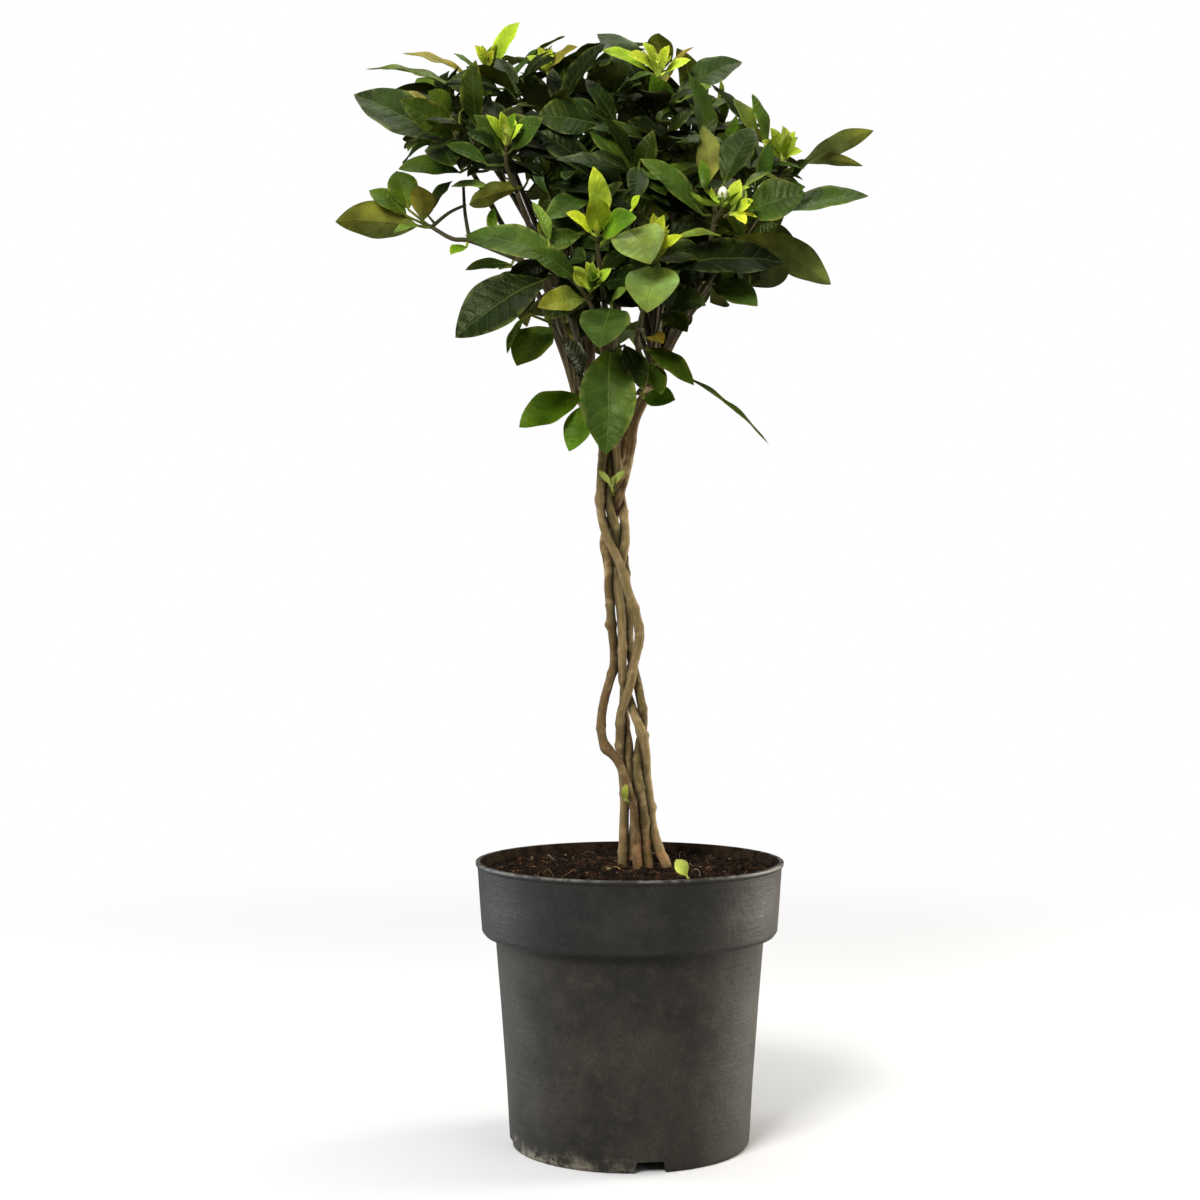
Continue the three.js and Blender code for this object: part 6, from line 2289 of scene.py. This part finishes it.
@dataclass(frozen=True)
class BarkFinish:
    """Bark with fissures along the stem, pale corky spots, darker higher up, and painted shade between
    stems.
    """

    name: str
    dark: Colour = (84, 64, 38)
    olive: Colour = (112, 104, 56)
    pale: Colour = (198, 174, 128)
    raw: Colour = (176, 118, 78)
    high: float = 0.505
    high_colour: Colour = (44, 38, 25)
    damp: Colour = (60, 44, 28)

    def material(self) -> Material:
        """Makes the material."""
        n = Nodes(self.name)
        place = n.spot()
        grain = n.attribute("grain").outputs["Vector"]
        tint = n.attribute("tint")
        streak = n.noise(n.stretched(grain, (1.3, 1.3, 0.09)), 1.4, 5, 0.62)
        patch = n.noise(place, 95, 3)
        fine = n.noise(n.stretched(grain, (3, 3, 0.7)), 1.6, 4, 0.6)
        fissure = n.band(streak, 0.36, 0.56, 0.6, 0)
        colour = n.mix(fissure, tint.outputs["Color"], screen(self.dark))
        colour = n.mix(n.band(patch, 0.5, 0.7, 0, 0.6), colour, screen(self.pale))
        lichen = n.noise(place, 48, 4, 0.6)
        colour = n.mix(n.band(lichen, 0.5, 0.68, 0, 0.5), colour, screen(self.olive))
        colour = n.mix(n.band(fine, 0.3, 0.5, 0.4, 0), colour, screen(self.dark))
        spots = n.cells(n.stretched(grain, (0.5, 0.5, 0.28)), 1.0)
        colour = n.mix(n.band(spots, 0.1, 0.2, 0.5, 0), colour, screen(self.pale))
        height = n.add("ShaderNodeSeparateXYZ", {0: place}).outputs[2]
        # Darker above a given height
        young = n.band(height, self.high - 0.04, self.high + 0.05, 0, 0.9)
        colour = n.mix(young, colour, screen(self.high_colour))
        peeled = n.times(n.band(height, 0.18, 0.205, 1, 0), n.band(patch, 0.5, 0.6))
        colour = n.mix(n.times(peeled, 0.45), colour, screen(self.raw))
        colour = n.mix(n.band(height, 0.165, 0.178, 0.6, 0), colour, screen(self.damp))
        # Painted shade between stems, carried in the tint's fourth part
        colour = n.shaded(colour, tint.outputs["Alpha"])
        n.set("Base Color", colour)
        n.set("Roughness", n.band(fine, 0.2, 0.8, 0.62, 0.88))
        n.set("Specular IOR Level", 0.2)
        shape = n.scaled(streak, 1.3, n.times(fine, 0.7))
        n.bump(n.scaled(patch, 0.9, shape), 0.0008, 0.8)
        return n.material


@dataclass(frozen=True)
class TwigFinish:
    """Smooth green to brown young wood."""

    name: str
    brown: Colour = (84, 72, 40)

    def material(self) -> Material:
        """Makes the material."""
        n = Nodes(self.name)
        grain = n.attribute("grain").outputs["Vector"]
        streak = n.noise(n.stretched(grain, (1.2, 1.2, 0.1)), 1.5, 3)
        tint = n.attribute("tint").outputs["Color"]
        colour = n.mix(n.band(streak, 0.4, 0.7, 0, 0.6), tint, screen(self.brown))
        n.set("Base Color", colour)
        n.set("Roughness", n.band(streak, 0.2, 0.8, 0.5, 0.66))
        n.set("Specular IOR Level", 0.2)
        n.bump(streak, 0.0004, 0.6)
        return n.material


@dataclass(frozen=True)
class PeatFinish:
    """Damp peat: crumbly, dark, with a few reddish and pale grains."""

    name: str
    rough: float = 0.95
    reddish: Colour = (98, 66, 42)

    def material(self) -> Material:
        """Makes the material."""
        n = Nodes(self.name)
        place = n.spot()
        tint = n.attribute("tint").outputs["Color"]
        coarse = n.noise(place, 180, 5, 0.65)
        fine = n.noise(place, 900, 4, 0.7)
        colour = n.shaded(tint, n.band(coarse, 0.3, 0.72, 0.45, 1.75))
        colour = n.mix(n.band(fine, 0.6, 0.72, 0, 0.5), colour, screen(self.reddish))
        n.set("Base Color", colour)
        n.set("Roughness", self.rough)
        n.set("Specular IOR Level", 0.12)
        n.bump(n.scaled(fine, 0.5, coarse), 0.0024, 1)
        return n.material


@dataclass(frozen=True)
class MouldedFinish:
    """Recycled charcoal plastic: cloudy, dusty and scuffed, with lime left by water at the foot, a painted
    highlight on the lip, painted shade and a painted bluish reflection on the band.
    """

    name: str
    rough: float = 0.5
    dark: Colour = (34, 32, 28)
    light: Colour = (54, 51, 45)
    dust: Colour = (74, 70, 61)
    scuff: Colour = (80, 77, 70)
    painted_band_reflection: Colour = (32, 36, 41)
    speck: Colour = (22, 20, 17)
    painted_lip_highlight: Colour = (120, 118, 112)
    lime: Colour = (176, 168, 150)
    rim: Flat = (0.128, 0.132)

    def material(self) -> Material:
        """Makes the material."""
        n = Nodes(self.name)
        place = n.spot()
        parts = n.add("ShaderNodeSeparateXYZ", {0: place})
        cloud = n.noise(place, 22, 4, 0.6)
        mottle = n.noise(place, 110, 5, 0.65)
        grit = n.noise(place, 760, 3, 0.6)
        streak = n.noise(n.stretched(place, (1, 1, 0.05)), 120, 3)
        up = parts.outputs[2]
        colour = n.mix(n.band(cloud, 0.34, 0.66), screen(self.dark), screen(self.light))
        colour = n.mix(n.band(mottle, 0.45, 0.75, 0, 0.35), colour, screen(self.dust))
        colour = n.mix(n.band(streak, 0.58, 0.8, 0, 0.12), colour, screen(self.scuff))
        # Painted bluish reflection on the rim band, strongest on its left
        painted_band_reflection = n.times(n.band(up, *self.rim), n.band(parts.outputs[0], -0.08, 0.03, 0.6, 0.15))
        colour = n.mix(painted_band_reflection, colour, screen(self.painted_band_reflection))
        # Painted shade: the rim band is made darker
        colour = n.shaded(colour, n.band(up, *self.rim, 1, 0.86))
        colour = n.shaded(colour, n.band(grit, 0.3, 0.7, 0.8, 1.24))
        speck = n.cells(place, 80.0)
        colour = n.mix(n.band(speck, 0.03, 0.07, 0.7, 0), colour, screen(self.speck))
        # Painted highlight along the top of the lip, in patches
        painted_lip_highlight = n.times(n.band(up, 0.1724, 0.1735), n.band(mottle, 0.42, 0.58, 0.1, 0.8))
        colour = n.mix(painted_lip_highlight, colour, screen(self.painted_lip_highlight))
        low = n.band(n.scaled(mottle, -0.02, up), -0.012, 0.001, 1, 0)
        left = n.band(parts.outputs[0], -0.07, 0.012, 1, 0.3)
        near = n.math("LESS_THAN", parts.outputs[0], 0.008)
        lime = n.band(n.noise(place, 130, 6, 0.7), 0.42, 0.56)
        lime = n.times(n.times(lime, low), n.times(left, near))
        colour = n.mix(n.times(lime, 0.8), colour, screen(self.lime))
        n.set("Base Color", colour)
        rough = n.band(mottle, 0.25, 0.8, self.rough - 0.07, self.rough + 0.14)
        n.set("Roughness", rough)
        n.set("Specular IOR Level", 0.36)
        rings = n.noise(n.stretched(place, (0.06, 0.06, 1)), 420, 3)
        shape = n.scaled(rings, 0.5, n.times(mottle, 0.8))
        shape = n.scaled(grit, 0.3, shape)
        n.bump(n.scaled(cloud, 2.0, shape), 0.0005, 0.7)
        return n.material


@dataclass(frozen=True)
class StainedFinish:
    """The pot's inner wall: dull plastic with a crust of dried peat."""

    name: str
    dark: Colour = (20, 14, 9)
    light: Colour = (46, 35, 25)

    def material(self) -> Material:
        """Makes the material."""
        n = Nodes(self.name)
        place = n.spot()
        mottle = n.noise(place, 110, 5, 0.65)
        grit = n.noise(place, 760, 3, 0.6)
        colour = n.mix(n.band(mottle, 0.35, 0.65), screen(self.dark), screen(self.light))
        n.set("Base Color", n.shaded(colour, n.band(grit, 0.3, 0.7, 0.7, 1.3)))
        n.set("Roughness", 0.92)
        n.set("Specular IOR Level", 0.06)
        n.bump(n.scaled(grit, 0.5, mottle), 0.0008, 0.8)
        return n.material


@dataclass(frozen=True)
class PetalFinish:
    """Creamy petals with a soft sheen, greener towards the calyx."""

    name: str

    def material(self) -> Material:
        """Makes the material."""
        n = Nodes(self.name)
        place = n.spot()
        cloud = n.noise(place, 260, 3)
        tint = n.attribute("tint").outputs["Color"]
        colour = n.shaded(tint, n.band(cloud, 0.3, 0.75, 0.86, 1.06))
        n.set("Base Color", colour)
        n.set("Roughness", n.band(cloud, 0.3, 0.7, 0.42, 0.6))
        n.set("Subsurface Weight", 0.15)
        n.set("Subsurface Radius", (0.002, 0.0016, 0.0008))
        n.bump(cloud, 0.0004, 0.6)
        return n.material


# Studio


@dataclass
class Studio:
    """A pale floor, soft lights and the camera, at the photograph's place and height."""

    floor: float = 8.0
    sky: float = 0.06
    bounce: float = 0.4
    backdrop: float = 1.0
    floor_near: float = 0.3
    floor_far: float = 1.3
    lights: tuple[tuple[str, Spot, float, float, Spot], ...] = (
        ("Key", (-0.75, -1.6, 1.55), 0.8, 50, (1.0, 0.98, 0.93)),
        ("Fill", (1.4, -1.4, 0.9), 1.2, 5, (1.0, 0.98, 0.93)),
        ("Left edge", (-1.4, 0.45, 0.25), 0.8, 20, (0.93, 0.96, 1.0)),
        ("Right edge", (1.4, 0.5, 0.25), 0.8, 42, (1.0, 0.93, 0.8)),
        ("Top", (0.1, 0.1, 2.2), 1.2, 20, (1.0, 0.99, 0.96)),
    )

    def camera(self) -> None:
        """Places the camera level with the middle of the plant."""
        data = bpy.data.cameras.new("Camera")
        data.lens = 60
        data.sensor_width = 36
        camera = put("Camera", data)
        camera.location = (EYE.across * MM, -EYE.distance * MM, EYE.up * MM)
        camera.rotation_euler = (math.pi / 2, 0, 0)
        bpy.context.scene.camera = camera

    def light(self) -> None:
        """Places soft square lights that face the crown, and a pale sky."""
        aim = Vector((0, 0, 0.42))
        for name, place, size, power, colour in self.lights:
            data = bpy.data.lights.new(name, "AREA")
            data.size = size
            data.energy = power
            data.color = colour
            lamp = put(name, data)
            lamp.location = place
            lamp.rotation_euler = (aim - Vector(place)).to_track_quat("-Z", "Y").to_euler()
        world = bpy.data.worlds.new("Sky")
        world.use_nodes = True
        tree = world.node_tree
        sky = tree.nodes["Background"]
        sky.inputs["Color"].default_value = (1, 1, 1, 1)
        path = tree.nodes.new("ShaderNodeLightPath")
        strength = tree.nodes.new("ShaderNodeMath")
        strength.operation = "MULTIPLY_ADD"
        tree.links.new(path.outputs["Is Camera Ray"], strength.inputs[0])
        strength.inputs[1].default_value = self.backdrop - self.sky
        strength.inputs[2].default_value = self.sky
        tree.links.new(strength.outputs[0], sky.inputs["Strength"])
        bpy.context.scene.world = world
        bpy.context.scene.view_settings.view_transform = "Standard"

    def floor_material(self) -> Material:
        """A pale matt floor that passes into the pale backdrop further out."""
        n = Nodes("pale floor")
        n.set("Roughness", 0.8)
        n.set("Specular IOR Level", 0.1)
        away = n.add("ShaderNodeVectorMath", {0: n.spot()}, operation="LENGTH").outputs["Value"]
        seen = n.add("ShaderNodeLightPath").outputs["Is Camera Ray"]
        n.set("Base Color", n.mix(seen, n.grey(self.bounce), (0.88, 0.89, 0.92)))
        glow = n.times(seen, self.backdrop)
        far = n.add("ShaderNodeEmission", {"Color": (1, 1, 1, 1), "Strength": glow}).outputs[0]
        share = n.band(away, self.floor_near, self.floor_far)
        blend = n.add("ShaderNodeMixShader", {0: share, 1: n.shader.outputs[0], 2: far})
        output = n.tree.nodes["Material Output"]
        n.tree.links.new(blend.outputs[0], output.inputs["Surface"])
        return n.material

    def ground(self) -> None:
        """Lays the floor."""
        bm = bmesh.new()
        bmesh.ops.create_grid(bm, x_segments=1, y_segments=1, size=self.floor / 2)
        mesh = bpy.data.meshes.new("floor")
        bm.to_mesh(mesh)
        bm.free()
        mesh.materials.append(self.floor_material())
        put("floor", mesh)


def main() -> None:
    """Builds the studio and every sub-assembly."""
    logging.basicConfig(level=logging.INFO, format="%(message)s")
    studio = Studio()
    studio.camera()
    studio.light()
    studio.ground()
    upper = LeafFinish("leaf upper side").material()
    under = LeafFinish(
        "leaf underside", raised=True, rough=0.55, vein_share=0.16, quilt=0.0005, specular=0.1
    ).material()
    young_upper = LeafFinish(
        "young leaf upper side", veins=7, rough=0.42, vein_share=0.16, quilt=0.0008,
        vein_colour=(0.62, 0.7, 0.22),
    ).material()
    young_under = LeafFinish(
        "young leaf underside", raised=True, veins=7, rough=0.5, vein_share=0.14, quilt=0.0006,
        vein_colour=(0.62, 0.7, 0.22),
    ).material()
    twig = TwigFinish("young wood").material()
    green = [upper, under, twig]
    young = [young_upper, young_under, twig]
    Foliage(materials=green, young=young).build()
    InnerLeaves(materials=green).build()
    bark = BarkFinish("bark").material()
    Trunk(materials=[bark, BarkFinish("limb bark", high=0.46).material()]).build()
    moulded = MouldedFinish("charcoal plastic").material()
    Pot(materials=[moulded, StainedFinish("stained inner wall").material()]).build()
    soil = Soil(materials=[PeatFinish("peat").material(), PeatFinish("fibres", 0.85).material()])
    soil.build()
    Bud(materials=[PetalFinish("petal").material(), young_upper, young_under]).build()
    Sprouts(materials=young).build()
    Litter(soil, materials=young).build()


if __name__ == "__main__":
    main()
